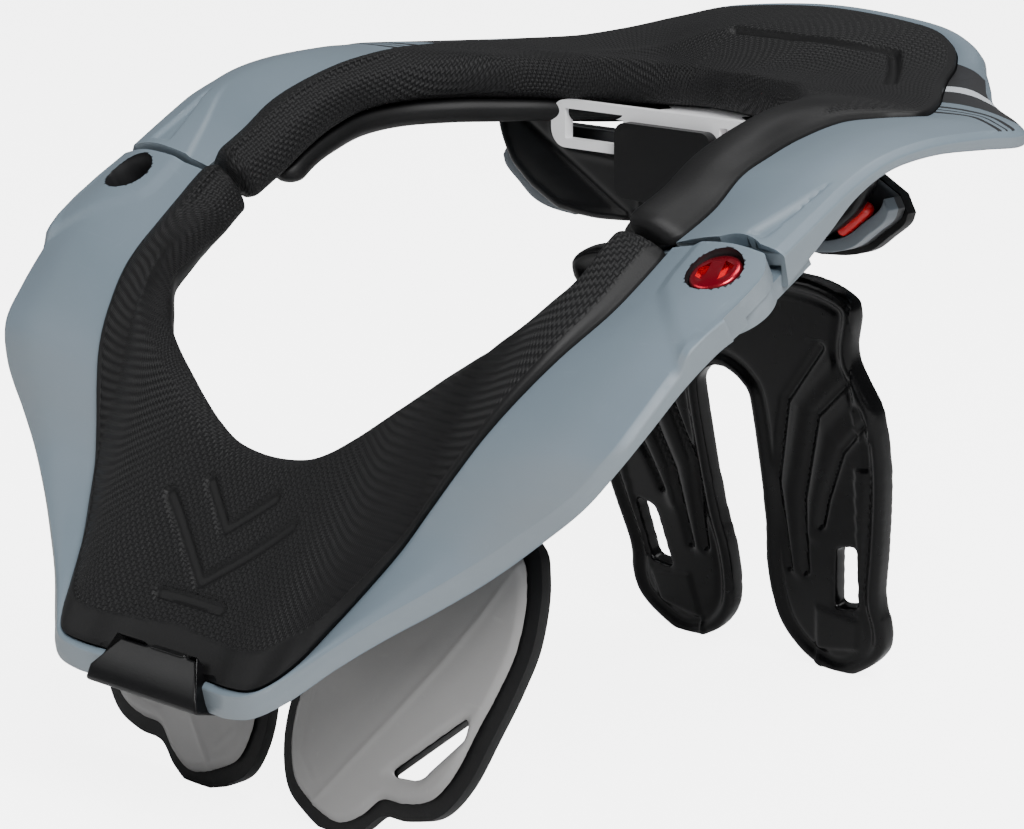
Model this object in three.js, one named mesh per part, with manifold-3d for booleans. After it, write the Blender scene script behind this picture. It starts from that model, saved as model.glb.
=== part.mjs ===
// Motocross neck brace: a hinged collar that stands on two chest plates and on the two legs of a back wing.
// Millimetres, +Z up. The wearer faces -Y, the wearer's left is +X. All places are worked out from the pin
// line of the collar (y = 0) and the floor (z = 0), and the whole is centred over its footprint at the end.
import * as THREE from "three";
import { mergeVertices } from "three/addons/utils/BufferGeometryUtils.js";
import Module from "manifold-3d";

const wasm = await Module();
wasm.setup();

// Overall sizes of the collar
const pinSpan = 236;
const frontReach = 96;
const rearReach = 193;
const tailHeight = 205.6;
const collarHalfWidth = pinSpan / 2 + 16;
const tailHalfWidth = pinSpan / 2 + 22;
const pinHeight = 0.7704 * tailHeight;
const pinTilt = 29;

// Moulded shell
const shellWall = 2.4;
const ledgeDrop = 2.2;
const ledgeWidth = 8;
const edgeBevel = 2.2;
const shellCrown = 3.2;
const pinShare = 0.6;
const rimDepth = 9;

// Padding
const rollHeight = 9;
const rollRadius = 8.5;
const padDepth = 13;
const padProud = 1;
const lowerPadWidth = 13;
const lowerPadDepth = 8;

// Collar hinge and its matching hole
const pinDiameter = 14.5;
const boreDiameter = 15.1;
const tabRadius = 13.4;
const tabWall = 5;
const lugWall = 5;
const lugRadius = 12.8;
const farLugRadius = 10.3;
const farLugDrop = 3;
const flangeDiameter = 19;
const flangeWall = 1.6;

// Chest plates
const chestReach = 0.679 * collarHalfWidth;
const chestHeight = 0.6187 * pinHeight;
const plateWall = 2.4;
const plateFoamWall = 3.6;
const plateRim = 4.6;
const plateSetback = 0.578 * frontReach;
const plateLean = 13.2;
const plateSlotLength = 25;
const plateSlotWidth = 6.4;
const plateSlotAngle = 30;
const ridgeAngle = 47;
const chestArmWidth = 10;
const chestArmHeight = 12;
const chestArmLow = 0.4167 * pinHeight;

// Back wing and its fold
const foldHeight = 0.7004 * tailHeight;
const wingHalfWidth = 61.5;
const wingHeight = foldHeight - 6;
const wingWall = 6;
const wingLean = 13.2;
const wingSlotLength = 17;
const wingSlotWidth = 5.8;
const wingSlotAngle = 74;
const ribHeight = 1.6;
const ribWidth = 3;
const foldPinDiameter = 4;
const knuckleRadius = 5;
const knuckleHalfWidth = 15;
const earWall = 6;

// Frame and guards below the tail
const frameY = 0.601 * rearReach;
const frameWall = 3.5;
const frameHalfWidth = 50;
const frameTop = 0.8677 * tailHeight;
const frameBottom = 0.7952 * tailHeight;
const windowInner = 19.5;
const windowOuter = 0.88 * frameHalfWidth;
const windowBottom = 0.8093 * tailHeight;
const windowTop = 0.8551 * tailHeight;
const deckStart = frameY + 6;
const deckRise = 0.3;
const deckWall = 2.5;
const framePinDiameter = 6;
const framePinX = 29;
const foldY = frameY + 18;
const wingTopY = foldY - 3;
const blockHalfWidth = 19.5;
const blockDepth = 3.7;
const blockTop = 0.8478 * tailHeight;
const blockBottom = 0.7344 * tailHeight;
const guardWall = 3;
const guardReach = 1.54 * frameHalfWidth;
const guardBottom = 0.6882 * tailHeight;
const guardHeight = 34;
const barDiameter = 5;
const barLength = 15;
const barSlope = 50;
const shoulderReach = 1.57 * frameHalfWidth;
const shoulderBottom = 0.6858 * tailHeight;
const shoulderHeight = 27;
const shoulderWall = 3;
const shoulderDepth = 5;
const shoulderFoamWall = 4;

// Clip at the front edge
const badgeHalfWidth = 23.7;
const badgeThickness = 3.6;

// Fits
const gap = 0.3;
const hingeGap = 0.4;

// How far a cutting body reaches past what it cuts
const cutReach = 40;

const rad = THREE.MathUtils.degToRad;
const v3 = (x, y, z) => new THREE.Vector3(x, y, z);

// A table row as an object with the columns' names
const table = (columns, rows) => rows.map((row) => Object.fromEntries(columns.map((name, i) => [name, row[i]])));

const sectionColumns = [
  "borderX", "borderY", "borderZ", "outerX", "outerY", "outerZ", "lipX", "lipY", "lipZ", "crown", "lip", "rim",
];

// Front half, from the middle of the chest round to the pin line. Border: where padding and shell meet.
// Outer: the shell's outer edge. Lip: the padding's innermost line. Shares of collarHalfWidth, frontReach and
// pinHeight; crown and lip are shares of rollHeight, rim of rimDepth.
const frontRows = table(sectionColumns, [
  [0.000, -0.927, 0.306, 0.000, -0.965, 0.278, 0.000, -0.507, 0.629, 0.20, 0.50, 0.46],
  [0.149, -0.932, 0.306, 0.153, -0.969, 0.280, 0.113, -0.500, 0.639, 0.25, 0.50, 0.46],
  [0.231, -0.951, 0.311, 0.235, -0.990, 0.287, 0.196, -0.481, 0.667, 0.25, 0.52, 0.46],
  [0.291, -0.948, 0.318, 0.306, -0.979, 0.299, 0.260, -0.463, 0.699, 0.28, 0.54, 0.46],
  [0.328, -0.912, 0.336, 0.362, -0.922, 0.331, 0.319, -0.446, 0.734, 0.28, 0.56, 0.48],
  [0.359, -0.847, 0.371, 0.430, -0.842, 0.391, 0.373, -0.432, 0.768, 0.28, 0.58, 0.52],
  [0.393, -0.761, 0.429, 0.515, -0.765, 0.451, 0.425, -0.411, 0.803, 0.28, 0.60, 0.58],
  [0.431, -0.688, 0.488, 0.604, -0.691, 0.505, 0.459, -0.384, 0.828, 0.30, 0.60, 0.62],
  [0.469, -0.620, 0.549, 0.698, -0.623, 0.564, 0.489, -0.344, 0.850, 0.32, 0.62, 0.62],
  [0.507, -0.571, 0.612, 0.791, -0.571, 0.626, 0.515, -0.298, 0.867, 0.36, 0.64, 0.55],
  [0.548, -0.524, 0.677, 0.877, -0.527, 0.689, 0.534, -0.248, 0.885, 0.42, 0.68, 0.48],
  [0.588, -0.469, 0.741, 0.931, -0.473, 0.756, 0.546, -0.186, 0.900, 0.50, 0.72, 0.48],
  [0.626, -0.388, 0.804, 0.951, -0.385, 0.816, 0.554, -0.121, 0.916, 0.62, 0.78, 0.55],
  [0.662, -0.282, 0.866, 0.965, -0.277, 0.881, 0.560, -0.055, 0.933, 0.76, 0.84, 0.62],
  [0.689, -0.130, 0.927, 0.981, -0.167, 0.936, 0.564, 0.005, 0.950, 0.90, 0.90, 0.66],
  [0.699, -0.017, 0.975, 0.994, -0.051, 0.972, 0.567, 0.052, 0.969, 1.00, 0.96, 0.66],
  [0.704, 0.094, 1.023, 0.990, 0.094, 1.027, 0.569, 0.094, 0.986, 1.00, 1.00, 0.62],
]);

// Rear half, from the pin line round to the middle of the tail. Shares of tailHalfWidth, rearReach and
// tailHeight; crown and lip are shares of rollHeight, rim of rimDepth.
const rearRows = table(sectionColumns, [
  [0.675, 0.053, 0.794, 0.936, 0.053, 0.805, 0.544, 0.053, 0.766, 1.00, 1.00, 1.10],
  [0.682, 0.124, 0.828, 0.943, 0.130, 0.846, 0.543, 0.114, 0.800, 0.90, 0.95, 1.05],
  [0.684, 0.179, 0.866, 0.950, 0.197, 0.875, 0.544, 0.176, 0.834, 0.85, 0.90, 0.85],
  [0.681, 0.238, 0.885, 0.957, 0.269, 0.900, 0.549, 0.238, 0.861, 0.85, 0.90, 0.62],
  [0.674, 0.313, 0.902, 0.963, 0.357, 0.914, 0.550, 0.311, 0.882, 0.85, 0.85, 0.55],
  [0.686, 0.394, 0.917, 0.979, 0.456, 0.916, 0.521, 0.394, 0.892, 0.75, 0.80, 0.52],
  [0.721, 0.461, 0.919, 1.000, 0.523, 0.914, 0.471, 0.466, 0.897, 0.60, 0.75, 0.52],
  [0.764, 0.510, 0.919, 0.957, 0.560, 0.917, 0.407, 0.523, 0.897, 0.50, 0.75, 0.52],
  [0.721, 0.585, 0.924, 0.821, 0.648, 0.919, 0.350, 0.565, 0.895, 0.42, 0.75, 0.52],
  [0.643, 0.668, 0.928, 0.707, 0.731, 0.921, 0.293, 0.593, 0.892, 0.38, 0.75, 0.52],
  [0.550, 0.767, 0.931, 0.600, 0.829, 0.924, 0.229, 0.617, 0.890, 0.38, 0.75, 0.52],
  [0.479, 0.855, 0.941, 0.502, 0.917, 0.929, 0.164, 0.635, 0.890, 0.45, 0.75, 0.52],
  [0.393, 0.927, 0.958, 0.421, 0.974, 0.951, 0.107, 0.646, 0.890, 0.60, 0.75, 0.52],
  [0.271, 0.961, 0.975, 0.279, 0.995, 0.968, 0.057, 0.651, 0.890, 0.80, 0.75, 0.52],
  [0.000, 0.969, 0.987, 0.000, 1.000, 0.980, 0.000, 0.653, 0.890, 0.85, 0.75, 0.52],
]);

// Smooth rows between the table's rows; beyond the middle the row is mirrored, beyond the other end repeated
function smoothRows(rows, steps, middleFirst) {
  const mirrored = (row) => Object.fromEntries(
    Object.entries(row).map(([name, value]) => [name, name.endsWith("X") ? -value : value]),
  );
  const last = rows.length - 1;
  const at = (i) => {
    if (i < 0) return middleFirst ? mirrored(rows[1]) : rows[0];
    if (i > last) return middleFirst ? rows[last] : mirrored(rows[last - 1]);
    return rows[i];
  };
  const result = [];
  for (let i = 0; i <= last; i++) {
    for (let k = 0; k < (i < last ? steps : 1); k++) {
      const t = k / steps;
      const row = {};
      for (const name of Object.keys(rows[0])) {
        const [a, b, c, d] = [at(i - 1)[name], at(i)[name], at(i + 1)[name], at(i + 2)[name]];
        const slope = 0.5 * (c - a);
        const nextSlope = 0.5 * (d - b);
        const rise = c - b;
        const cubic = slope + nextSlope - 2 * rise;
        const square = 3 * rise - 2 * slope - nextSlope;
        row[name] = ((cubic * t + square) * t + slope) * t + b;
      }
      result.push(row);
    }
  }
  return result;
}

// The three lines of a half collar at each section, in millimetres, with unit directions
function stations(rows, sizes, middleFirst) {
  const list = smoothRows(rows, 2, middleFirst).map((row) => ({
    border: v3(row.borderX * sizes.x, row.borderY * sizes.y, row.borderZ * sizes.z),
    outer: v3(row.outerX * sizes.x, row.outerY * sizes.y, row.outerZ * sizes.z),
    lip: v3(row.lipX * sizes.x, row.lipY * sizes.y, row.lipZ * sizes.z),
    crownRise: row.crown * rollHeight,
    lipRise: row.lip * rollHeight,
    rim: row.rim * rimDepth,
  }));
  const ends = middleFirst ? [0] : [list.length - 1];
  list.forEach((s, i) => {
    const before = list[Math.max(i - 1, 0)];
    const after = list[Math.min(i + 1, list.length - 1)];
    const atMiddle = ends.includes(i);
    const along = (name) => {
      const step = after[name].clone().sub(before[name]);
      return atMiddle ? v3(step.x, 0, 0) : step;
    };
    const upright = (across, tangent) => {
      const n = across.clone().cross(tangent).normalize();
      return n.z < 0 ? n.negate() : n;
    };
    s.out = s.outer.clone().sub(s.border).normalize();
    s.inward = s.lip.clone().sub(s.border).normalize();
    s.shellUp = upright(s.out, along("border").add(along("outer")));
    s.padUp = upright(s.inward, along("border").add(along("lip")));
    s.down = s.shellUp.clone().negate().add(v3(0, 0, -1)).normalize();
    s.width = s.lip.distanceTo(s.border);
  });
  return list;
}

const place = (origin, ...moves) => moves.reduce((p, [direction, d]) => p.addScaledVector(direction, d), origin.clone());

// Section of the shell: top face from border to outer edge, the turned down rim, and a ledge under the padding
function shellSection(s) {
  const thick = ledgeDrop + shellWall;
  const inner = place(s.outer, [s.out, -shellWall]);
  return [
    place(s.border),
    place(s.border.clone().lerp(s.outer, pinShare), [s.shellUp, shellCrown * s.crownRise / rollHeight]),
    place(s.outer, [s.out, -edgeBevel], [s.shellUp, 0.3]),
    place(s.outer, [s.shellUp, -edgeBevel * 0.7]),
    place(s.outer, [s.down, s.rim]),
    place(inner, [s.down, s.rim]),
    place(inner, [s.shellUp, -thick]),
    place(s.border, [s.inward, ledgeWidth], [s.padUp, -thick]),
    place(s.border, [s.inward, ledgeWidth], [s.padUp, -ledgeDrop]),
    place(s.border, [s.padUp, -ledgeDrop]),
  ];
}

// Section of the padding: thin edge on the ledge, crowned top, round lip and inner wall
function padSection(s) {
  const roll = Math.min(rollRadius, 0.42 * s.width);
  const depth = padDepth * 0.5;
  const edge = gap + 0.1;
  const points = [
    [edge, -ledgeDrop + gap],
    [edge, padProud * 0.4],
    [edge + 1.6, padProud + 0.25 * s.crownRise],
    [0.28 * s.width, padProud + 0.75 * s.crownRise],
    [0.55 * s.width, Math.max(s.crownRise, 0.5 * s.lipRise) + 0.2 * s.lipRise],
    [s.width - 0.85 * roll, s.lipRise],
    [s.width - 0.3 * roll, 0.7 * s.lipRise],
    [s.width, 0.1 * s.lipRise],
    [s.width, -0.55 * depth],
    [s.width - 0.45 * roll, -depth],
    [ledgeWidth + 2 * gap + 0.3, -depth],
    [ledgeWidth + 2 * gap, -ledgeDrop + gap],
  ];
  return points.map(([a, n]) => place(s.border, [s.inward, a], [s.padUp, n]));
}

// Section of the second padding layer under the roll
function lowerPadSection(s, i, list) {
  const top = -padDepth * 0.5 - gap;
  const t = i / (list.length - 1);
  const depth = lowerPadDepth * Math.min(1, 0.55 + 4 * t) * (1 - 0.8 * t ** 3);
  const w = s.width;
  return [
    [w - lowerPadWidth + 3.5, top],
    [w - 1.5, top],
    [w + 0.4, top - 0.3 * depth],
    [w + 0.2, top - depth * 0.6],
    [w - 2.5, top - depth],
    [w - lowerPadWidth + 5, top - depth],
  ].map(([a, n]) => place(s.border, [s.inward, a], [s.padUp, n]));
}

const mirrorPoint = (p) => v3(-p.x, p.y, p.z);

// A closed body through rings of equally many points, with flat ends
function loft(rings) {
  const count = rings[0].length;
  const points = rings.flat();
  const faces = [];
  for (let r = 0; r + 1 < rings.length; r++) {
    for (let k = 0; k < count; k++) {
      const a = r * count + k;
      const b = r * count + (k + 1) % count;
      faces.push(a, b, b + count, a, b + count, a + count);
    }
  }
  const cap = (ring, offset, flip) => {
    const normal = v3(0, 0, 0);
    ring.forEach((p, i) => normal.add(p.clone().cross(ring[(i + 1) % count])));
    normal.normalize();
    const u = v3(0, 0, 0).crossVectors(Math.abs(normal.z) < 0.9 ? v3(0, 0, 1) : v3(1, 0, 0), normal).normalize();
    const w = normal.clone().cross(u);
    const flat = ring.map((p) => new THREE.Vector2(p.dot(u), p.dot(w)));
    for (const [a, b, c] of THREE.ShapeUtils.triangulateShape(flat, [])) {
      faces.push(...(flip ? [a, b, c] : [a, c, b]).map((i) => i + offset));
    }
  };
  cap(rings[0], 0, false);
  cap(rings.at(-1), points.length - count, true);
  const geometry = new THREE.BufferGeometry();
  geometry.setAttribute("position", new THREE.BufferAttribute(new Float32Array(points.flatMap((p) => p.toArray())), 3));
  geometry.setIndex(faces);
  return outward(geometry);
}

function signedVolume(geometry) {
  const position = geometry.getAttribute("position");
  const index = geometry.getIndex().array;
  let sum = 0;
  for (let i = 0; i < index.length; i += 3) {
    const [a, b, c] = [0, 1, 2].map((k) => new THREE.Vector3().fromBufferAttribute(position, index[i + k]));
    sum += a.dot(b.cross(c)) / 6;
  }
  return sum;
}

function outward(geometry) {
  if (signedVolume(geometry) < 0) {
    const index = geometry.getIndex().array;
    for (let i = 0; i < index.length; i += 3) {
      [index[i + 1], index[i + 2]] = [index[i + 2], index[i + 1]];
    }
  }
  return geometry;
}

// Solids for joining and cutting
function solid(geometry) {
  const plain = geometry.clone();
  for (const name of ["normal", "uv"]) {
    plain.deleteAttribute(name);
  }
  const merged = outward(mergeVertices(plain, 1e-4));
  const vertProperties = new Float32Array(merged.getAttribute("position").array);
  const triVerts = new Uint32Array(merged.getIndex().array);
  return new wasm.Manifold(new wasm.Mesh({ numProp: 3, vertProperties, triVerts }));
}

function geometryOf(body) {
  const mesh = body.getMesh();
  const geometry = new THREE.BufferGeometry();
  geometry.setAttribute("position", new THREE.BufferAttribute(new Float32Array(mesh.vertProperties), 3));
  geometry.setIndex([...mesh.triVerts]);
  return geometry;
}

const shifted = (body, x, y, z) => body.translate([x, y, z]);

// The body less its neighbour, with a gap all round
function clearOf(body, neighbour, distance = gap) {
  const moves = [[1, 0, 0], [-1, 0, 0], [0, 1, 0], [0, -1, 0], [0, 0, 1], [0, 0, -1]];
  return moves.reduce(
    (rest, m) => rest.subtract(shifted(neighbour, m[0] * distance, m[1] * distance, m[2] * distance)),
    body.subtract(neighbour),
  );
}

const moved = (geometry, matrix) => solid(geometry.clone().applyMatrix4(matrix));

// A plate from an outline drawn in x and z, thick along y from front to back
function uprightPlate(points, front, back, holes = []) {
  const shape = new THREE.Shape(points.map(([x, z]) => new THREE.Vector2(x, z)));
  shape.holes = holes.map((hole) => new THREE.Path(hole.map(([x, z]) => new THREE.Vector2(x, z))));
  const geometry = new THREE.ExtrudeGeometry(shape, { depth: back - front, bevelEnabled: false, curveSegments: 6 });
  geometry.rotateX(Math.PI / 2);
  geometry.translate(0, back, 0);
  return solid(geometry);
}

// A bar from an outline drawn in y and z, wide along x
function sidePlate(points, left, right) {
  const shape = new THREE.Shape(points.map(([y, z]) => new THREE.Vector2(y, z)));
  const geometry = new THREE.ExtrudeGeometry(shape, { depth: right - left, bevelEnabled: false });
  const toWorld = new THREE.Matrix4().makeBasis(v3(0, 1, 0), v3(0, 0, 1), v3(1, 0, 0)).setPosition(left, 0, 0);
  return moved(geometry, toWorld);
}

// A smooth closed outline through a few corner points
function softOutline(points, perSide = 3) {
  const curve = new THREE.CatmullRomCurve3(points.map(([x, z]) => v3(x, 0, z)), true, "centripetal");
  return curve.getPoints(points.length * perSide).slice(0, -1).map((p) => [p.x, p.z]);
}

const flipX = (points) => points.map(([x, z]) => [-x, z]).reverse();
const sides = [["left", 1], ["right", -1]];
const mirrorBody = (body, side) => (side > 0 ? body : body.mirror([1, 0, 0]));

// A disc or pin along the tilted axis of the collar pins: heights run along the axis from the pin's top
function onPinAxis(radius, low, high, side, segments = 24) {
  const cylinder = new THREE.CylinderGeometry(radius, radius, high - low, segments);
  cylinder.rotateX(Math.PI / 2);
  cylinder.translate(0, 0, (low + high) / 2);
  const turn = new THREE.Matrix4().makeRotationX(rad(pinTilt));
  return moved(cylinder, turn.setPosition(side * pinSpan / 2, 0, pinHeight));
}

const front = stations(frontRows, { x: collarHalfWidth, y: frontReach, z: pinHeight }, true);
const rear = stations(rearRows, { x: tailHalfWidth, y: rearReach, z: tailHeight }, false);

// Rings of a whole half collar, from the wearer's left through the middle to the right
function roundFront(section) {
  const half = front.map(section);
  const left = half.slice(1).reverse();
  return solid(loft([...left, ...half.map((ring) => ring.map(mirrorPoint))]));
}

function roundRear(section) {
  const half = rear.map(section);
  const right = half.slice(0, -1).reverse().map((ring) => ring.map(mirrorPoint));
  return solid(loft([...half, ...right]));
}

// Front shell: the half ring, a round tab for the pin at the left, an open hole at the right
function makeFrontShell() {
  const ring = roundFront(shellSection).subtract(besideTab());
  const tab = onPinAxis(tabRadius, -tabWall, 0, 1);
  const bore = onPinAxis(boreDiameter / 2, -cutReach, cutReach, 1);
  const hole = onPinAxis(boreDiameter / 2, -cutReach, cutReach, -1);
  const underTab = onPinAxis(lugRadius + 2, -cutReach, -tabWall, 1);
  return ring.add(tab).subtract(underTab).subtract(bore).subtract(hole);
}

// Where the ring gives way to the round end: all behind the pin, and beside it what would swing past its radius
function besideTab() {
  const start = pinSpan / 2 - tabRadius;
  const behind = new THREE.BoxGeometry(3 * tabRadius, 3 * tabRadius, 2 * cutReach);
  behind.translate(start + 1.5 * tabRadius, 1.5 * tabRadius - 1, pinHeight);
  const beside = new THREE.BoxGeometry(3 * tabRadius, 4, 2 * cutReach);
  beside.translate(start + 1.5 * tabRadius, -2, pinHeight);
  return solid(behind).add(solid(beside).subtract(onPinAxis(tabRadius + gap, -cutReach, cutReach, 1)));
}

// Rear shell: the half ring with a round seat for the tab and a lug under each pin place
function makeRearShell() {
  const ring = roundRear(shellSection);
  const seat = onPinAxis(tabRadius + hingeGap, -tabWall - hingeGap, cutReach, 1);
  const lugTop = -tabWall - hingeGap;
  const lug = lugBar(1, lugRadius, lugTop);
  const farTop = lugTop - farLugDrop;
  const farLug = lugBar(-1, farLugRadius, farTop);
  const bore = onPinAxis(boreDiameter / 2, -cutReach, cutReach, 1);
  const blind = onPinAxis(boreDiameter / 2 - 1, farTop - lugWall + 1.5, cutReach, -1);
  return ring.add(lug).add(farLug).subtract(seat).subtract(bore).subtract(blind);
}

// Lug under a tab: a round end on the pin axis with a bar that runs back and a riser up to the rear shell
function lugBar(side, radius, top) {
  const disc = onPinAxis(radius, top - lugWall, top, side);
  const width = 1.72 * radius;
  const bar = new THREE.BoxGeometry(width, 26, lugWall);
  bar.translate(0, 15, top - lugWall / 2);
  const riser = new THREE.BoxGeometry(width, 8, lugWall + 8);
  riser.translate(0, 24, top - lugWall / 2 + 4);
  const turn = new THREE.Matrix4().makeRotationX(rad(pinTilt));
  turn.setPosition(side * pinSpan / 2, 0, pinHeight);
  return disc.add(moved(bar, turn)).add(moved(riser, turn));
}

// Red pin: the head fills the tab's bore, the shank passes the lug, and a flange holds it below
function makeHingePin() {
  const bottom = -tabWall - hingeGap - lugWall;
  const shank = onPinAxis(pinDiameter / 2, bottom - gap - flangeWall, 0.2, 1);
  const flange = onPinAxis(flangeDiameter / 2, bottom - gap - flangeWall, bottom - gap, 1);
  const slot = new THREE.BoxGeometry(pinDiameter * 0.72, 2.6, 1.6);
  const turn = new THREE.Matrix4().makeRotationX(rad(pinTilt));
  const cut = moved(slot, turn.setPosition(pinSpan / 2, 0, pinHeight));
  return shank.add(flange).subtract(cut);
}

// Front padding, with a notch where the clip hooks over its lower edge
function makeFrontPad() {
  const notch = new THREE.BoxGeometry(1.3 * badgeHalfWidth, 20, 20);
  notch.translate(0, -frontReach - 1, frontRows[0].borderZ * pinHeight - 3);
  return roundFront(padSection).subtract(solid(notch));
}

// Profile of the clip from its back edge over the front face to its underside: how far forward and how high
// in shares of its thickness, and how wide in shares of its full width
const badgeRows = table(["forward", "up", "wide"], [
  [0.55, 3.1, 0.60],
  [1.00, 1.2, 0.96],
  [1.10, 0.0, 1.00],
  [-1.60, -0.7, 0.90],
  [-2.20, 1.4, 0.70],
]);

// Clip at the lower front edge: a wedge that is wide at its front and narrow at its back
function makeBadge(frontShell, frontPad) {
  const low = frontRows[0].outerZ * pinHeight - 2.6;
  const y0 = frontRows[0].outerY * frontReach - 0.4;
  const ringAt = (share) => badgeRows.map((row) => v3(
    badgeHalfWidth * row.wide * share, y0 - badgeThickness * row.forward, low + badgeThickness * row.up,
  ));
  const shares = [-1, -0.9, -0.5, 0, 0.5, 0.9, 1];
  const wedge = solid(loft(shares.map(ringAt)));
  return clearOf(clearOf(wedge, frontShell), frontPad);
}

const outlineColumns = ["across", "up"];

// A table of shares as points: across from the middle, up from the bottom
const sized = (rows, reach, height, bottom = 0) => rows.map((row) => [row.across * reach, bottom + row.up * height]);

// Chest plate from the inner top corner round; the wavy side is the lower one. Shares of chestReach, chestHeight.
const plateOutline = sized(table(outlineColumns, [
  [0.24, 0.90],
  [0.09, 0.49],
  [0.04, 0.26],
  [0.08, 0.10],
  [0.18, 0.03],
  [0.32, -0.01],
  [0.43, 0.03],
  [0.51, 0.09],
  [0.62, 0.10],
  [0.74, 0.14],
  [0.83, 0.24],
  [0.90, 0.39],
  [0.96, 0.53],
  [1.00, 0.67],
  [0.99, 0.84],
  [0.91, 0.94],
  [0.57, 1.00],
]), chestReach, chestHeight);

const plateMiddle = [0.51 * chestReach, 0.49 * chestHeight];
const plateSlotCentre = [0.62 * chestReach, 0.275 * chestHeight];

function shrink(points, distance) {
  const [cx, cz] = plateMiddle;
  return points.map(([x, z]) => {
    const length = Math.hypot(x - cx, z - cz);
    return [x - (x - cx) / length * distance, z - (z - cz) / length * distance];
  });
}

const plateTurn = new THREE.Matrix4().makeRotationX(-rad(plateLean)).setPosition(0, -plateSetback, 0);
const lean = (body, matrix) => body.transform(matrix.elements);

function slotOutline(centre, length, width, angle) {
  const along = [Math.cos(rad(angle)), Math.sin(rad(angle))];
  const points = [];
  for (const end of [1, -1]) {
    for (let k = 0; k <= 4; k++) {
      const a = rad(angle + (end > 0 ? -90 : 90) + k * 45);
      points.push([
        centre[0] + end * along[0] * (length - width) / 2 + Math.cos(a) * width / 2,
        centre[1] + end * along[1] * (length - width) / 2 + Math.sin(a) * width / 2,
      ]);
    }
  }
  return points;
}

function aboveFloor(body) {
  const below = new THREE.BoxGeometry(2 * tailHalfWidth, 3 * rearReach, cutReach);
  below.translate(0, 0, -cutReach / 2);
  return body.subtract(solid(below));
}

function makeChestPlate(side) {
  const slot = slotOutline(plateSlotCentre, plateSlotLength, plateSlotWidth, plateSlotAngle);
  const plate = uprightPlate(softOutline(shrink(plateOutline, plateRim), 2), -plateWall / 2, plateWall / 2, [slot]);
  return mirrorBody(lean(plate.add(sideRidge()), plateTurn), side);
}

// The raised line that crosses the plate
function sideRidge() {
  const bar = new THREE.BoxGeometry(0.9 * chestReach, 1.6, 3);
  bar.rotateY(-rad(ridgeAngle));
  bar.translate(plateMiddle[0], -plateWall / 2 - 0.3, plateMiddle[1]);
  return solid(bar);
}

function makeChestFoam(side) {
  const slot = slotOutline(plateSlotCentre, plateSlotLength + 2, plateSlotWidth + 2, plateSlotAngle);
  const start = plateWall / 2 + gap;
  const foam = uprightPlate(softOutline(plateOutline, 2), start, start + plateFoamWall, [slot]);
  return aboveFloor(mirrorBody(lean(foam, plateTurn), side));
}

// Hidden arm from the shell's ledge back to the plate
function makeChestArm(side, frontShell, frontPad, plate) {
  const plateY = (z) => Math.tan(rad(plateLean)) * z - plateSetback;
  const shellY = -0.7 * frontReach;
  const top = chestArmLow + chestArmHeight;
  const outline = [
    [shellY, chestArmLow],
    [plateY(chestArmLow), chestArmLow],
    [plateY(top), top],
    [shellY + 9, top],
    [shellY, chestArmLow + 5],
  ];
  const start = 0.53 * chestReach;
  const bar = mirrorBody(sidePlate(outline, start, start + chestArmWidth), side);
  return clearOf(clearOf(clearOf(bar, frontShell), frontPad), plate);
}

// One leg of the wing, from the middle of the top edge round. Shares of wingHalfWidth and wingHeight.
const wingOutline = sized(table(outlineColumns, [
  [0.00, 0.98],
  [0.49, 0.98],
  [0.75, 0.97],
  [0.91, 0.94],
  [0.935, 0.90],
  [0.88, 0.81],
  [0.93, 0.74],
  [0.99, 0.68],
  [1.00, 0.58],
  [0.975, 0.48],
  [0.91, 0.335],
  [0.845, 0.21],
  [0.86, 0.145],
  [0.845, 0.09],
  [0.78, 0.05],
  [0.67, 0.015],
  [0.57, -0.005],
  [0.455, -0.005],
  [0.29, 0.03],
  [0.17, 0.095],
  [0.13, 0.175],
  [0.13, 0.26],
  [0.165, 0.38],
  [0.18, 0.64],
  [0.14, 0.695],
  [0.06, 0.72],
  [0.00, 0.725],
]), wingHalfWidth, wingHeight);

const wingSlotCentre = [0.67 * wingHalfWidth, 0.225 * wingHeight];

function makeWing() {
  const outline = [...wingOutline, ...flipX(wingOutline.slice(1, -1))];
  const hole = slotOutline(wingSlotCentre, wingSlotLength, wingSlotWidth, wingSlotAngle);
  let plate = uprightPlate(outline, -wingWall / 2, wingWall / 2, [hole, flipX(hole)]);
  for (const [, side] of sides) {
    for (const rib of wingRibs()) {
      plate = plate.add(mirrorBody(rib, side));
    }
  }
  const knuckle = crossPin(knuckleRadius, knuckleHalfWidth);
  const neck = sidePlate([
    [foldY - 4, foldHeight],
    [foldY + 4, foldHeight],
    [foldY + 2.5, foldHeight - 16],
    [foldY - 7, foldHeight - 16],
  ], -knuckleHalfWidth, knuckleHalfWidth);
  const bore = crossPin(foldPinDiameter / 2 + gap, 2 * knuckleHalfWidth);
  return aboveFloor(lean(plate, wingTurn).add(neck).add(knuckle).subtract(bore));
}

const wingTurn = new THREE.Matrix4().makeRotationX(rad(wingLean));
wingTurn.setPosition(0, wingTopY + Math.tan(rad(wingLean)) * 0.95 * wingHeight, 0);

// Raised ribs down each leg, on both faces: how far out they are at four heights, the outermost first
const ribHeights = { top: 0.87, knee: 0.65, shin: 0.46, foot: 0.26 };
const ribRows = table(["top", "knee", "shin", "foot"], [
  [0.81, 0.89, 0.86, 0.79],
  [0.585, 0.65, 0.62, 0.49],
  [0.36, 0.39, 0.37, 0.31],
]);

function wingRibs() {
  return ribRows.map((row) => {
    const line = Object.keys(row).map((name) => [row[name] * wingHalfWidth, ribHeights[name] * wingHeight]);
    const outer = line.map(([x, z]) => [x + ribWidth / 2, z]);
    const inner = line.reverse().map(([x, z]) => [x - ribWidth / 2, z]);
    return uprightPlate([...outer, ...inner], -wingWall / 2 - ribHeight, wingWall / 2 + ribHeight);
  });
}

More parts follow.
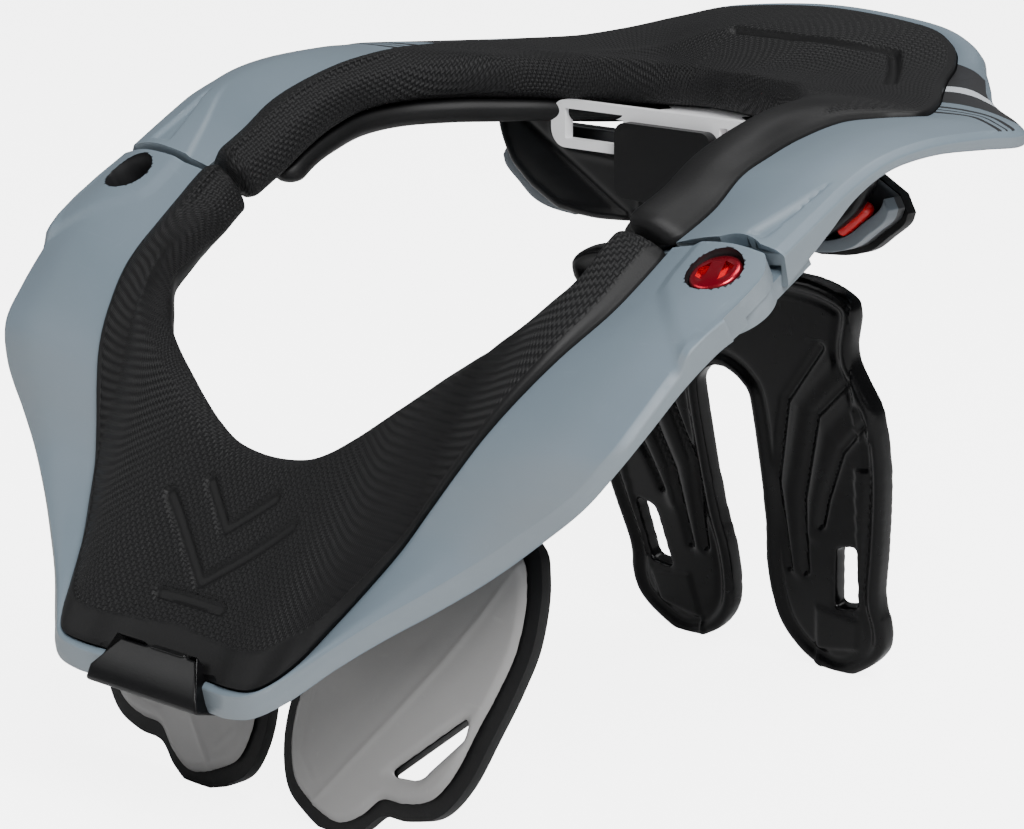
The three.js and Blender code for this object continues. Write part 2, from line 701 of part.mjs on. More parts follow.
// A pin along x at the fold of the wing
function crossPin(radius, halfWidth) {
  const pin = new THREE.CylinderGeometry(radius, radius, 2 * halfWidth, 20);
  pin.rotateZ(Math.PI / 2);
  pin.translate(0, foldY, foldHeight);
  return solid(pin);
}

// Underside of the deck at a place along y
const deckLow = (y) => windowTop - 2.2 + deckRise * (y - deckStart - 4);

// White frame: an upright oval with two windows, a web behind its middle and a deck under the tail padding
function makeFrame(pads) {
  const window = new THREE.BoxGeometry(windowOuter - windowInner, 4 * frameWall, windowTop - windowBottom);
  window.translate((windowInner + windowOuter) / 2, frameY, (windowBottom + windowTop) / 2);
  const plain = uprightPlate(softRectangle(frameHalfWidth, frameBottom, frameTop, 6), frameY - frameWall, frameY);
  const oval = plain.subtract(solid(window)).subtract(mirrorBody(solid(window), -1));
  const deckEnd = 0.93 * rearReach;
  const deck = sidePlate([
    [deckStart, deckLow(deckStart)],
    [deckEnd, deckLow(deckEnd)],
    [deckEnd, deckLow(deckEnd) + deckWall],
    [deckStart, deckLow(deckStart) + deckWall],
  ], -frameHalfWidth + 4, frameHalfWidth - 4);
  const web = sidePlate([
    [frameY - 1, windowTop - 3],
    [deckStart + 2, deckLow(deckStart + 2)],
    [deckStart + 2, deckLow(deckStart + 2) + deckWall],
    [frameY - 1, frameTop],
  ], -windowInner + 1, windowInner - 1);
  return pads.reduce((body, pad) => clearOf(body, pad), oval.add(deck).add(web));
}

function softRectangle(halfWidth, bottom, top, corner) {
  const shape = new THREE.Shape();
  shape.moveTo(-halfWidth + corner, bottom);
  shape.lineTo(halfWidth - corner, bottom);
  shape.absarc(halfWidth - corner, bottom + corner, corner, -Math.PI / 2, 0);
  shape.lineTo(halfWidth, top - corner);
  shape.absarc(halfWidth - corner, top - corner, corner, 0, Math.PI / 2);
  shape.lineTo(-halfWidth + corner, top);
  shape.absarc(-halfWidth + corner, top - corner, corner, Math.PI / 2, Math.PI);
  shape.lineTo(-halfWidth, bottom + corner);
  shape.absarc(-halfWidth + corner, bottom + corner, corner, Math.PI, 1.5 * Math.PI);
  return shape.getPoints(5).slice(0, -1).map((p) => [p.x, p.y]);
}

function makeNeckBlock() {
  const outline = softRectangle(blockHalfWidth, blockBottom, blockTop, 4);
  return uprightPlate(outline, frameY - frameWall - gap - blockDepth, frameY - frameWall - gap);
}

// Red pin in the window at the wearer's left
function makeFramePin() {
  const pin = new THREE.CylinderGeometry(framePinDiameter / 2, framePinDiameter / 2, frameWall, 20);
  pin.translate(framePinX, frameY - frameWall / 2, windowTop - gap - framePinDiameter / 2);
  return solid(pin);
}

// Guard from its inner top corner down and round. Shares of guardReach and guardHeight.
const guardOutline = sized(table(outlineColumns, [
  [0.18, 0.62],
  [0.18, 0.04],
  [0.43, 0.00],
  [0.64, 0.04],
  [0.80, 0.22],
  [0.91, 0.42],
  [0.97, 0.65],
  [1.00, 0.83],
  [0.95, 1.00],
  [0.67, 1.00],
  [0.67, 0.78],
  [0.60, 0.66],
]), guardReach, guardHeight, guardBottom);

function makeGuard(side, frame, pads) {
  const wall = uprightPlate(guardOutline, frameY + gap, frameY + gap + guardWall);
  return pads.reduce((body, pad) => clearOf(body, pad), clearOf(mirrorBody(wall, side), frame));
}

// Shoulder plate from its inner top corner down and round. Shares of shoulderReach and shoulderHeight.
const shoulderOutline = sized(table(outlineColumns, [
  [0.38, 1.00],
  [0.38, 0.00],
  [0.59, 0.00],
  [0.73, 0.04],
  [0.83, 0.13],
  [0.91, 0.30],
  [0.98, 0.46],
  [1.00, 0.59],
  [0.97, 0.72],
  [0.79, 1.00],
]), shoulderReach, shoulderHeight, shoulderBottom);

const shoulderFront = frameY + 2 * gap + guardWall + shoulderDepth;

// The rolled rim follows the lower edge from the back to the shoulder; a boss behind the guard carries the plate
function makeShoulderPlate(side) {
  const back = shoulderFront + shoulderWall;
  const wall = uprightPlate(shoulderOutline, shoulderFront, back);
  const edge = shoulderOutline.slice(2, 8);
  const inner = edge.map(([x, z]) => [x - 2, z + 3.4]).reverse();
  const rim = uprightPlate([...edge, ...inner], shoulderFront - shoulderDepth, back);
  const boss = new THREE.BoxGeometry(12, shoulderDepth + 1, 12);
  boss.translate(0.48 * shoulderReach, shoulderFront - shoulderDepth / 2 + 0.5, shoulderBottom + 12);
  return mirrorBody(wall.add(rim).add(solid(boss)), side);
}

function makeShoulderFoam(side) {
  const start = shoulderFront + shoulderWall + gap;
  const outline = shoulderOutline.map(([x, z], i) => (i > 1 && i < 8 ? [x + 0.6, z - 1.8] : [x, z]));
  return mirrorBody(uprightPlate(outline, start, start + shoulderFoamWall), side);
}

// Red bar, sloping like the rim below it
function makeReleaseBar(side) {
  const bar = new THREE.CapsuleGeometry(barDiameter / 2, barLength - barDiameter, 3, 10);
  bar.rotateZ(-rad(barSlope));
  bar.rotateX(Math.PI / 2);
  bar.translate(0.82 * shoulderReach, shoulderFront - gap - barDiameter / 2, shoulderBottom + 0.5 * shoulderHeight);
  return mirrorBody(solid(bar), side);
}

// Hidden arm from the frame's deck down to the fold of the wing, with an ear at each end of the knuckle
function makeRearArm() {
  const half = knuckleHalfWidth + gap + earWall;
  const front = foldY - 6;
  const back = foldY + 22;
  const bar = sidePlate([
    [foldY - 5, foldHeight - 4],
    [foldY + 5, foldHeight - 4],
    [foldY + 12, foldHeight + 10],
    [back, deckLow(back) - gap],
    [front, deckLow(front) - gap],
    [front, foldHeight + 8],
  ], -half, half);
  const room = crossPin(knuckleRadius + 1, knuckleHalfWidth + gap);
  const below = new THREE.BoxGeometry(2 * (knuckleHalfWidth + gap), cutReach, cutReach);
  below.translate(0, foldY, foldHeight - cutReach / 2);
  const bore = crossPin(foldPinDiameter / 2 + gap, 2 * half);
  return bar.subtract(room).subtract(solid(below)).subtract(bore);
}

const materials = {
  shell: [0x8d98a3, 0.5, 0], pad: [0x1d1d1f, 0.9, 0], plate: [0xa8a8a6, 0.45, 0.1], black: [0x0d0d0f, 0.5, 0],
  white: [0xe6e6ea, 0.4, 0], red: [0xb3101c, 0.25, 0.8], redPlastic: [0xc01616, 0.4, 0], dark: [0x3a3c3e, 0.4, 0],
};

const brace = new THREE.Group();

function addPiece(name, body, finish) {
  const [color, roughness, metalness] = materials[finish];
  const material = new THREE.MeshStandardMaterial({ color, roughness, metalness });
  const mesh = new THREE.Mesh(geometryOf(body), material);
  mesh.name = name;
  brace.add(mesh);
  return body;
}

const lowerRange = rear.slice(1, 16);

function makeLowerPad(side) {
  return mirrorBody(solid(loft(lowerRange.map(lowerPadSection))), side);
}

const frontShell = addPiece("front_shell", makeFrontShell(), "shell");
const frontPad = addPiece("front_foam", clearOf(makeFrontPad(), frontShell, 0.15), "pad");
const rearShell = addPiece("rear_shell", makeRearShell(), "shell");
const rearPad = addPiece("rear_foam", clearOf(roundRear(padSection), rearShell, 0.15), "pad");
addPiece("hinge_pin", makeHingePin(), "red");
addPiece("front_badge", makeBadge(frontShell, frontPad), "black");
const lowerPads = sides.map(([name, side]) => addPiece(`rear_lower_foam_${name}`, makeLowerPad(side), "black"));
const frame = addPiece("rear_frame", makeFrame([rearPad, rearShell, ...lowerPads]), "white");
addPiece("neck_block", makeNeckBlock(), "black");
addPiece("frame_pin", makeFramePin(), "red");
addPiece("rear_arm", makeRearArm(), "black");
addPiece("wing_pin", crossPin(foldPinDiameter / 2, knuckleHalfWidth + gap + earWall), "dark");
addPiece("back_wing", makeWing(), "black");
for (const [name, side] of sides) {
  const plate = addPiece(`chest_plate_${name}`, makeChestPlate(side), "plate");
  addPiece(`chest_foam_${name}`, makeChestFoam(side), "pad");
  addPiece(`chest_arm_${name}`, makeChestArm(side, frontShell, frontPad, plate), "black");
  addPiece(`neck_guard_${name}`, makeGuard(side, frame, [rearPad, ...lowerPads]), "black");
  addPiece(`shoulder_plate_${name}`, makeShoulderPlate(side), "dark");
  addPiece(`shoulder_foam_${name}`, makeShoulderFoam(side), "pad");
  addPiece(`release_bar_${name}`, makeReleaseBar(side), "redPlastic");
}

// The origin goes to the middle of the footprint
const bounds = new THREE.Box3().setFromObject(brace);
const middle = bounds.getCenter(v3(0, 0, 0));
brace.position.set(-middle.x, -middle.y, -bounds.min.z);

export default brace;
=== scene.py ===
# Motocross neck brace: a collar of two hinged moulded shells with foam padding, two chest plates in front and
# a folding wing behind. Lengths are in millimetres, on the collar's own axes: x to the wearer's left, y to the
# back from the line of the hinge pins, z up from the floor.
import math

import bmesh
import bpy
import numpy as np
from mathutils import Matrix, Vector


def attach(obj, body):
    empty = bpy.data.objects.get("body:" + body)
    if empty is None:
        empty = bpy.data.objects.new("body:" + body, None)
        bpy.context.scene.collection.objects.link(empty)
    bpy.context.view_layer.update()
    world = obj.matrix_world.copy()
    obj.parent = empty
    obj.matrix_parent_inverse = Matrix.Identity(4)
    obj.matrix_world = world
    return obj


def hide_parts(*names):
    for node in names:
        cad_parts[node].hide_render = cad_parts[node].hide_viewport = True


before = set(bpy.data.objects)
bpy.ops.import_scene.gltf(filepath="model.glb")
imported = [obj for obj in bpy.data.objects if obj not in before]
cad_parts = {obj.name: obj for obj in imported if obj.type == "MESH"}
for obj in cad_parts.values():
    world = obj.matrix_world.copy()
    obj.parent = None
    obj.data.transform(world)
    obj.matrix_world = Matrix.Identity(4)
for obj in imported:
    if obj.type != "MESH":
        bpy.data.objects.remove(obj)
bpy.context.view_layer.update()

# Camera: it stands before the wearer's left shoulder, a little above the collar, with a long lens.
camera_back = Vector((0.686, -0.6929, 0.2222))
camera = bpy.data.objects.new("camera", bpy.data.cameras.new("camera"))
bpy.context.scene.collection.objects.link(camera)
camera.rotation_mode = "QUATERNION"
camera.rotation_quaternion = (-camera_back).to_track_quat("-Z", "Y")
camera.location = (0.6808, -0.69082, 0.3168)
camera.data.lens = 119.2
camera.data.clip_start = 0.05
bpy.context.scene.camera = camera

# Light: two large soft boxes, one from the front at the camera's right and above, one from its left, and a weak
# one from behind; the room is a pale even grey.


def soft_box(name, place, size, power):
    light = bpy.data.objects.new(name, bpy.data.lights.new(name, "AREA"))
    light.data.shape = "RECTANGLE"
    light.data.size, light.data.size_y = size
    light.data.energy = power
    light.rotation_mode = "QUATERNION"
    light.location = place
    light.rotation_quaternion = (Vector((0, 0, 0.1)) - light.location).to_track_quat("-Z", "Y")
    bpy.context.scene.collection.objects.link(light)


soft_box("key_light", (1.3, -0.7, 1.5), (0.9, 0.9), 46)
soft_box("fill_light", (-1.2, -1.3, 1.1), (1.2, 0.8), 7)
soft_box("top_light", (0.2, 0.6, 1.9), (1.0, 1.0), 16)

world = bpy.data.worlds.new("room")
bpy.context.scene.world = world
world.use_nodes = True
world.node_tree.nodes["Background"].inputs["Color"].default_value = (0.97, 0.98, 1.0, 1)
world.node_tree.nodes["Background"].inputs["Strength"].default_value = 0.2


# Front shell: the grey half ring over the chest, injection moulded in glass-filled nylon. Its rim turns down, a
# ledge runs under the padding, and its left end is a round tab on the hinge pin; its right end is an open hole.
PIN_SPAN = 236
PIN_HEIGHT = 158.4
PIN_TILT = math.radians(29)
PIN_AXIS = Vector((0, -math.sin(PIN_TILT), math.cos(PIN_TILT)))
FRONT_SIZE = (134, 96, 158.4)
SHELL_WALL = 2.4
LEDGE_DROP = 2.2
LEDGE_WIDTH = 8
SHELL_CROWN = 3.2
EDGE_BEVEL = 2.2
RIM_DEPTH = 9
ROLL_HEIGHT = 9
ROLL_RADIUS = 8.5
PAD_DEPTH = 6.5
TAB_RADIUS = 13.4
TAB_WALL = 5
BORE_RADIUS = 7.55
PIN_LINE_BACK = 47.82

# Border, outer edge and padding lip at each section (x, y, z as shares of the sizes), rises of crown and lip
# (shares of ROLL_HEIGHT) and depth of the rim (share of RIM_DEPTH)
FRONT_ROWS = [
    (0.000, -0.927, 0.306, 0.000, -0.965, 0.278, 0.000, -0.507, 0.629, 0.20, 0.50, 0.46),
    (0.149, -0.932, 0.306, 0.153, -0.969, 0.280, 0.113, -0.500, 0.639, 0.25, 0.50, 0.46),
    (0.231, -0.951, 0.311, 0.235, -0.990, 0.287, 0.196, -0.481, 0.667, 0.25, 0.52, 0.46),
    (0.291, -0.948, 0.318, 0.306, -0.979, 0.299, 0.260, -0.463, 0.699, 0.28, 0.54, 0.46),
    (0.328, -0.912, 0.336, 0.362, -0.922, 0.331, 0.319, -0.446, 0.734, 0.28, 0.56, 0.48),
    (0.359, -0.847, 0.371, 0.430, -0.842, 0.391, 0.373, -0.432, 0.768, 0.28, 0.58, 0.52),
    (0.393, -0.761, 0.429, 0.515, -0.765, 0.451, 0.425, -0.411, 0.803, 0.28, 0.60, 0.58),
    (0.431, -0.688, 0.488, 0.604, -0.691, 0.505, 0.459, -0.384, 0.828, 0.30, 0.60, 0.62),
    (0.469, -0.620, 0.549, 0.698, -0.623, 0.564, 0.489, -0.344, 0.850, 0.32, 0.62, 0.62),
    (0.507, -0.571, 0.612, 0.791, -0.571, 0.626, 0.515, -0.298, 0.867, 0.36, 0.64, 0.55),
    (0.548, -0.524, 0.677, 0.877, -0.527, 0.689, 0.534, -0.248, 0.885, 0.42, 0.68, 0.48),
    (0.588, -0.469, 0.741, 0.931, -0.473, 0.756, 0.546, -0.186, 0.900, 0.50, 0.72, 0.48),
    (0.626, -0.388, 0.804, 0.951, -0.385, 0.816, 0.554, -0.121, 0.916, 0.62, 0.78, 0.55),
    (0.662, -0.282, 0.866, 0.965, -0.277, 0.881, 0.560, -0.055, 0.933, 0.76, 0.84, 0.62),
    (0.689, -0.130, 0.927, 0.981, -0.167, 0.936, 0.564, 0.005, 0.950, 0.90, 0.90, 0.66),
    (0.699, -0.017, 0.975, 0.994, -0.051, 0.972, 0.567, 0.052, 0.969, 1.00, 0.96, 0.66),
    (0.704, 0.094, 1.023, 0.990, 0.094, 1.027, 0.569, 0.094, 0.986, 1.00, 1.00, 0.62),
]


def unit(v):
    return v / np.linalg.norm(v)


def stations(rows, size, spacing):
    """Even cross sections of a half collar, from its left end over the middle to its right end."""
    rows = np.array(rows)
    mirrored = rows * ([-1, 1, 1] * 3 + [1, 1, 1])
    full = np.vstack([rows[:0:-1], mirrored] if rows[0][0] == 0 else [rows, mirrored[-2::-1]])
    full[:, :9] *= list(size) * 3
    ends = np.vstack([full[:1], full, full[-1:]])

    def row_at(s):
        s = min(max(s, 0), len(full) - 1)
        i = min(int(s), len(full) - 2)
        a, b, c, d = ends[i:i + 4]
        t = s - i
        return b + t * (0.5 * (c - a) + t * (a - 2.5 * b + 2 * c - 0.5 * d + t * (1.5 * (b - c) + 0.5 * (d - a))))

    fine = np.linspace(0, len(full) - 1, 40 * len(full))
    line = np.array([row_at(s)[3:6] * 0.5 + row_at(s)[6:9] * 0.5 for s in fine])
    run = np.concatenate([[0], np.cumsum(np.linalg.norm(np.diff(line, axis=0), axis=1))])
    places = np.interp(np.linspace(0, run[-1], int(run[-1] / spacing) + 1), run, fine)
    sections = []
    for s in places:
        row = row_at(s)
        step = row_at(s + 0.5) - row_at(s - 0.5)
        border, outer, lip = row[0:3], row[3:6], row[6:9]
        out, inward = unit(outer - border), unit(lip - border)
        shell_up = unit(np.cross(out, step[0:3] + step[3:6]))
        pad_up = unit(np.cross(inward, step[0:3] + step[6:9]))
        shell_up *= math.copysign(1, shell_up[2])
        pad_up *= math.copysign(1, pad_up[2])
        sections.append({
            "share": s / (len(full) - 1), "run": float(np.interp(s, fine, run)), "border": border, "outer": outer,
            "lip": lip, "out": out, "inward": inward, "shell_up": shell_up, "pad_up": pad_up,
            "down": unit(-shell_up + [0, 0, -1]), "width": np.linalg.norm(lip - border),
            "crown": row[9] * ROLL_HEIGHT, "lip_rise": row[10] * ROLL_HEIGHT, "rim": row[11] * RIM_DEPTH,
            "length": run[-1],
        })
    return sections


def eased(corners, radius, steps=3):
    """A closed line with each corner rounded; corners that need no rounding come with a radius of 0."""
    points = []
    for i, corner in enumerate(corners):
        before, after = corners[i - 1], corners[(i + 1) % len(corners)]
        if radius[i] == 0:
            points.append(corner)
            continue
        a = corner + unit(before - corner) * min(radius[i], 0.45 * np.linalg.norm(before - corner))
        b = corner + unit(after - corner) * min(radius[i], 0.45 * np.linalg.norm(after - corner))
        for t in np.linspace(0, 1, steps + 1):
            points.append(a * (1 - t) ** 2 + corner * 2 * t * (1 - t) + b * t ** 2)
    return points


def line_distance(points, line):
    """Distance of each flat point from a broken line, positive on its left."""
    best, sign = np.full(len(points), 1e9), np.ones(len(points))
    for a, b in zip(line, line[1:]):
        a, along = np.array(a, float), np.subtract(b, a).astype(float)
        t = np.clip((points - a) @ along / (along @ along), 0, 1)
        offset = points - a - t[:, None] * along
        d = np.linalg.norm(offset, axis=1)
        closer = d < best
        best = np.where(closer, d, best)
        sign = np.where(closer, np.sign(along[0] * offset[:, 1] - along[1] * offset[:, 0]), sign)
    return best * sign


# Each pin sits on a raised platform. Its inner and front edge is a slope, seen here down the pin's axis.
PLATFORM_EDGE = [(-15.3, 14), (-15.5, -3), (-14, -9), (-6.5, -16.5), (4, -26), (17, -38)]
PLATFORM_SLOPE = 3.6
TOP_STEPS = 60


def lift_platform(points):
    """Raises the points that lie on a pin's platform, along the pin's axis."""
    points = np.array(points)
    for side in (1, -1):
        q = points - [side * PIN_SPAN / 2, 0, PIN_HEIGHT]
        y = q[:, 1] * PIN_AXIS.z - q[:, 2] * PIN_AXIS.y
        z = q[:, 1] * PIN_AXIS.y + q[:, 2] * PIN_AXIS.z
        seen = np.stack([q[:, 0] * side, y], axis=1)
        mask = np.clip(line_distance(seen, PLATFORM_EDGE) / PLATFORM_SLOPE, 0, 1)
        mask = mask * (np.abs(q[:, 0]) < 50) * (y > -60)
        points += np.outer(np.clip(-z, 1.2, 2.9) * mask, PIN_AXIS)
    return list(points)


def shell_section(s, relief=None):
    """Crowned top face, bevelled edge, turned down rim, inner wall and the ledge under the padding."""
    thick = LEDGE_DROP + SHELL_WALL
    rise = SHELL_CROWN * s["crown"] / ROLL_HEIGHT
    edge = s["outer"] - s["out"] * EDGE_BEVEL + s["shell_up"] * 0.3
    top = []
    for t in np.linspace(0, 1, TOP_STEPS):
        height = math.sin(math.pi / 2 * t / 0.6) if t < 0.6 else math.cos(math.pi / 2 * (t - 0.6) / 0.4)
        point = s["border"] * (1 - t) + edge * t + s["shell_up"] * rise * height
        if relief:
            point = point + s["shell_up"] * relief(s, t)
        top.append(point)
    bevel_edge = s["outer"] - s["shell_up"] * EDGE_BEVEL * 0.7
    if not relief:
        *top, bevel_edge = lift_platform(top + [bevel_edge])
    inner = s["outer"] - s["out"] * SHELL_WALL
    ledge = s["border"] + s["inward"] * LEDGE_WIDTH
    corners = top + [
        bevel_edge,
        s["outer"] + s["down"] * s["rim"],
        inner + s["down"] * s["rim"],
        inner - s["shell_up"] * thick,
        ledge - s["pad_up"] * thick,
        ledge - s["pad_up"] * LEDGE_DROP,
        s["border"] - s["pad_up"] * LEDGE_DROP,
    ]
    radius = [0.4] + [0] * (TOP_STEPS - 2) + [0.6, 0.8, 0.8, 0.5, 0.5, 0.8, 0.5, 0.5]
    return eased(corners, radius)


def row_frame(p):
    """A point from the pin line, moved to the scene's origin; still in millimetres."""
    return Vector((p[0], p[1] - PIN_LINE_BACK, p[2]))


def ring_skin(sections, make, woven=None):
    """A closed body through the rings that make() gives. Its map holds the run along and across it, and its
    attribute tells where woven() says that the surface has a weave."""
    rings = [make(s) for s in sections]
    around = len(rings[0])
    bm = bmesh.new()
    bmesh.ops.create_grid(bm, x_segments=len(rings) - 1, y_segments=around, size=0.5)
    cloth = bm.loops.layers.uv.new("run")
    cover = bm.verts.layers.float.new("woven")
    across = []
    for ring in rings:
        steps = [np.linalg.norm(ring[k % around] - ring[k - 1]) for k in range(1, around + 1)]
        across.append(np.concatenate([[0], np.cumsum(steps)]))
    spot = {v: (round((v.co.x + 0.5) * (len(rings) - 1)), round((v.co.y + 0.5) * around)) for v in bm.verts}
    for face in bm.faces:
        for loop in face.loops:
            i, k = spot[loop.vert]
            loop[cloth].uv = (sections[i]["run"] / 1000, across[i][k] / 1000)
    shares = [woven(s, np.array(ring)) if woven else np.zeros(around) for s, ring in zip(sections, rings)]
    for v, (i, k) in spot.items():
        v.co = row_frame(rings[i][k % around])
        v[cover] = shares[i][k % around]
    seam = [v for v, (i, k) in spot.items() if k in (0, around)]
    bmesh.ops.remove_doubles(bm, verts=seam, dist=1e-6)
    bmesh.ops.holes_fill(bm, edges=[e for e in bm.edges if e.is_boundary])
    bmesh.ops.recalc_face_normals(bm, faces=bm.faces)
    return bm


def piece(name, bm, sharp=40):
    """The finished mesh as an object at the origin, smooth but for its sharp edges."""
    mesh = bpy.data.meshes.new(name)
    bm.to_mesh(mesh)
    bm.free()
    mesh.shade_smooth()
    mesh.set_sharp_from_angle(angle=math.radians(sharp))
    obj = bpy.data.objects.new(name, mesh)
    bpy.context.scene.collection.objects.link(obj)
    return obj


def settle(obj, sharp=40):
    """Puts the result of the modifiers in the mesh."""
    shown = obj.evaluated_get(bpy.context.evaluated_depsgraph_get())
    mesh = bpy.data.meshes.new_from_object(shown)
    obj.modifiers.clear()
    obj.data = mesh
    mesh.shade_smooth()
    mesh.set_sharp_from_angle(angle=math.radians(sharp))


def join_or_cut(obj, tool, operation="DIFFERENCE"):
    """One boolean step with a bmesh as the tool."""
    cutter = piece("tool", tool)
    step = obj.modifiers.new("step", "BOOLEAN")
    step.object = cutter
    step.operation = operation
    step.solver = "MANIFOLD"
    settle(obj)
    bpy.data.objects.remove(cutter)


def axis_place(side):
    """From a pin's own axes, origin at its head and z along it, to the scene."""
    turn = Matrix.Rotation(PIN_TILT, 4, "X")
    return Matrix.Translation(row_frame((side * PIN_SPAN / 2, 0, PIN_HEIGHT))) @ turn


def turned(profile, side, segments=64):
    """A body spun round a pin axis from its half profile, (radius, height) in millimetres."""
    bm = bmesh.new()
    verts = [bm.verts.new((r, 0, h)) for r, h in profile]
    edges = [bm.edges.new(pair) for pair in zip(verts, verts[1:])]
    bmesh.ops.spin(bm, geom=verts + edges, cent=(0, 0, 0), axis=(0, 0, 1), angle=math.tau, steps=segments,
                   use_merge=True)
    bmesh.ops.remove_doubles(bm, verts=bm.verts, dist=1e-4)
    bmesh.ops.transform(bm, matrix=axis_place(side), verts=bm.verts)
    bmesh.ops.recalc_face_normals(bm, faces=bm.faces)
    return bm


def rod(radius, low, high, side):
    return turned([(0, low), (radius, low), (radius, high), (0, high)], side)


def block(low, high):
    """A plain box between two corners, as a cutting tool."""
    bm = bmesh.new()
    bmesh.ops.create_cube(bm, size=1)
    size = Vector(high) - Vector(low)
    middle = (Vector(high) + Vector(low)) / 2
    for v in bm.verts:
        v.co = row_frame((v.co.x * size.x + middle.x, v.co.y * size.y + middle.y, v.co.z * size.z + middle.z))
    return bm


front_sections = stations(FRONT_ROWS, FRONT_SIZE, 0.9)
front_shell = piece("collar_front_shell", ring_skin(front_sections, shell_section))
round_end = [(-12.5, 50), (-12.5, 9.7), (-9.5, 9.5)]
round_end += [(TAB_RADIUS * math.cos(a), TAB_RADIUS * math.sin(a)) for a in np.radians(np.arange(130, -5, -5))]
round_end += [(TAB_RADIUS + 0.05, -15), (30, -15.1), (30, 50)]
waste = bmesh.new()
waste.faces.new([waste.verts.new((x, y, -45)) for x, y in round_end])
deep = bmesh.ops.extrude_face_region(waste, geom=waste.faces[:])
bmesh.ops.translate(waste, verts=[v for v in deep["geom"] if isinstance(v, bmesh.types.BMVert)], vec=(0, 0, 90))
bmesh.ops.transform(waste, matrix=axis_place(1), verts=waste.verts)
bmesh.ops.recalc_face_normals(waste, faces=waste.faces)
low_radius = TAB_RADIUS - 0.05
join_or_cut(front_shell, turned([(0, -TAB_WALL), (low_radius - 0.6, -TAB_WALL), (low_radius, -TAB_WALL + 0.6),
                                 (low_radius, -1.4), (low_radius - 1.2, -0.25), (0, -0.25)], 1), "UNION")
join_or_cut(front_shell, waste)
join_or_cut(front_shell, rod(TAB_RADIUS + 2, -40, -TAB_WALL, 1))
for side in (1, -1):
    join_or_cut(front_shell, turned([(0, -40), (BORE_RADIUS, -40), (BORE_RADIUS, 0.9), (BORE_RADIUS + 0.5, 1.6),
                                     (BORE_RADIUS + 0.5, 40), (0, 40)], side))


def node(tree, kind, inputs=None, **settings):
    """A shader node with its settings, and its inputs as values or as other nodes' outputs."""
    made = tree.nodes.new("ShaderNode" + kind)
    for name, value in settings.items():
        setattr(made, name, value)
    for name, value in (inputs or {}).items():
        if isinstance(value, bpy.types.NodeSocket):
            tree.links.new(value, made.inputs[name])
        else:
            made.inputs[name].default_value = value
    return made


def effect(name, inputs, outputs):
    """An empty shader group with number inputs (vectors start with v_) and outputs."""
    tree = bpy.data.node_groups.new(name, "ShaderNodeTree")
    for label, default in inputs.items():
        kind = "NodeSocketVector" if label.startswith("v_") else "NodeSocketFloat"
        socket = tree.interface.new_socket(label, in_out="INPUT", socket_type=kind)
        if default is not None:
            socket.default_value = default
    for label in outputs:
        tree.interface.new_socket(label, in_out="OUTPUT", socket_type="NodeSocketFloat")
    return tree, tree.nodes.new("NodeGroupInput"), tree.nodes.new("NodeGroupOutput")


def math_node(tree, operation, a, b=0.0, clamp=False):
    return node(tree, "Math", {0: a, 1: b}, operation=operation, use_clamp=clamp).outputs[0]


# Spark-eroded mould grain: fine height, and a slow variation for tint and gloss
grain, g_in, g_out = effect("mould_grain", {"v_place": None, "size": 2600.0}, ["height", "slow"])
fine = node(grain, "TexNoise", {"Vector": g_in.outputs["v_place"], "Scale": g_in.outputs["size"], "Detail": 3.0})
slow = node(grain, "TexNoise", {"Vector": g_in.outputs["v_place"], "Scale": 14.0, "Detail": 5.0, "Roughness": 0.6})
grain.links.new(fine.outputs["Fac"], g_out.inputs["height"])
grain.links.new(slow.outputs["Fac"], g_out.inputs["slow"])

# Edge wear: where the surface turns over, broken up by noise
wear, w_in, w_out = effect("edge_wear", {"v_place": None, "sharpness": 0.53}, ["mask"])
turning = node(wear, "NewGeometry").outputs["Pointiness"]
edge_mask = math_node(wear, "MULTIPLY", math_node(wear, "SUBTRACT", turning, w_in.outputs["sharpness"]), 22.0, True)
broken = node(wear, "TexNoise", {"Vector": w_in.outputs["v_place"], "Scale": 160.0, "Detail": 4.0})
kept = math_node(wear, "MULTIPLY", math_node(wear, "SUBTRACT", broken.outputs["Fac"], 0.35), 3.0, True)
wear.links.new(math_node(wear, "MULTIPLY", edge_mask, kept), w_out.inputs["mask"])

# Scuffs: thin short scratches in two directions
scuffs, s_in, s_out = effect("scuffs", {"v_place": None}, ["mask"])
strokes = []
for stretch in ((900, 45, 300), (60, 800, 200)):
    laid = node(scuffs, "Mapping", {"Vector": s_in.outputs["v_place"], "Scale": stretch, "Rotation": (0.5, 0.3, 0.8)})
    noise = node(scuffs, "TexNoise", {"Vector": laid.outputs[0], "Scale": 1.0, "Detail": 2.0})
    thin = math_node(scuffs, "SUBTRACT", noise.outputs["Fac"], 0.68)
    strokes.append(math_node(scuffs, "MULTIPLY", thin, 9.0, True))
scuffs.links.new(math_node(scuffs, "MAXIMUM", strokes[0], strokes[1]), s_out.inputs["mask"])


def group_node(tree, group, **inputs):
    made = tree.nodes.new("ShaderNodeGroup")
    made.node_tree = group
    for name, value in inputs.items():
        if isinstance(value, bpy.types.NodeSocket):
            tree.links.new(value, made.inputs[name])
        else:
            made.inputs[name].default_value = value
    return made


def mix(tree, factor, a, b):
    """Colour a turning to b with the factor."""
    made = tree.nodes.new("ShaderNodeMix")
    made.data_type = "RGBA"
    for index, value in ((0, factor), (6, a), (7, b)):
        if isinstance(value, bpy.types.NodeSocket):
            tree.links.new(value, made.inputs[index])
        else:
            made.inputs[index].default_value = value if index == 0 else (*value, 1)
    return made.outputs[2]


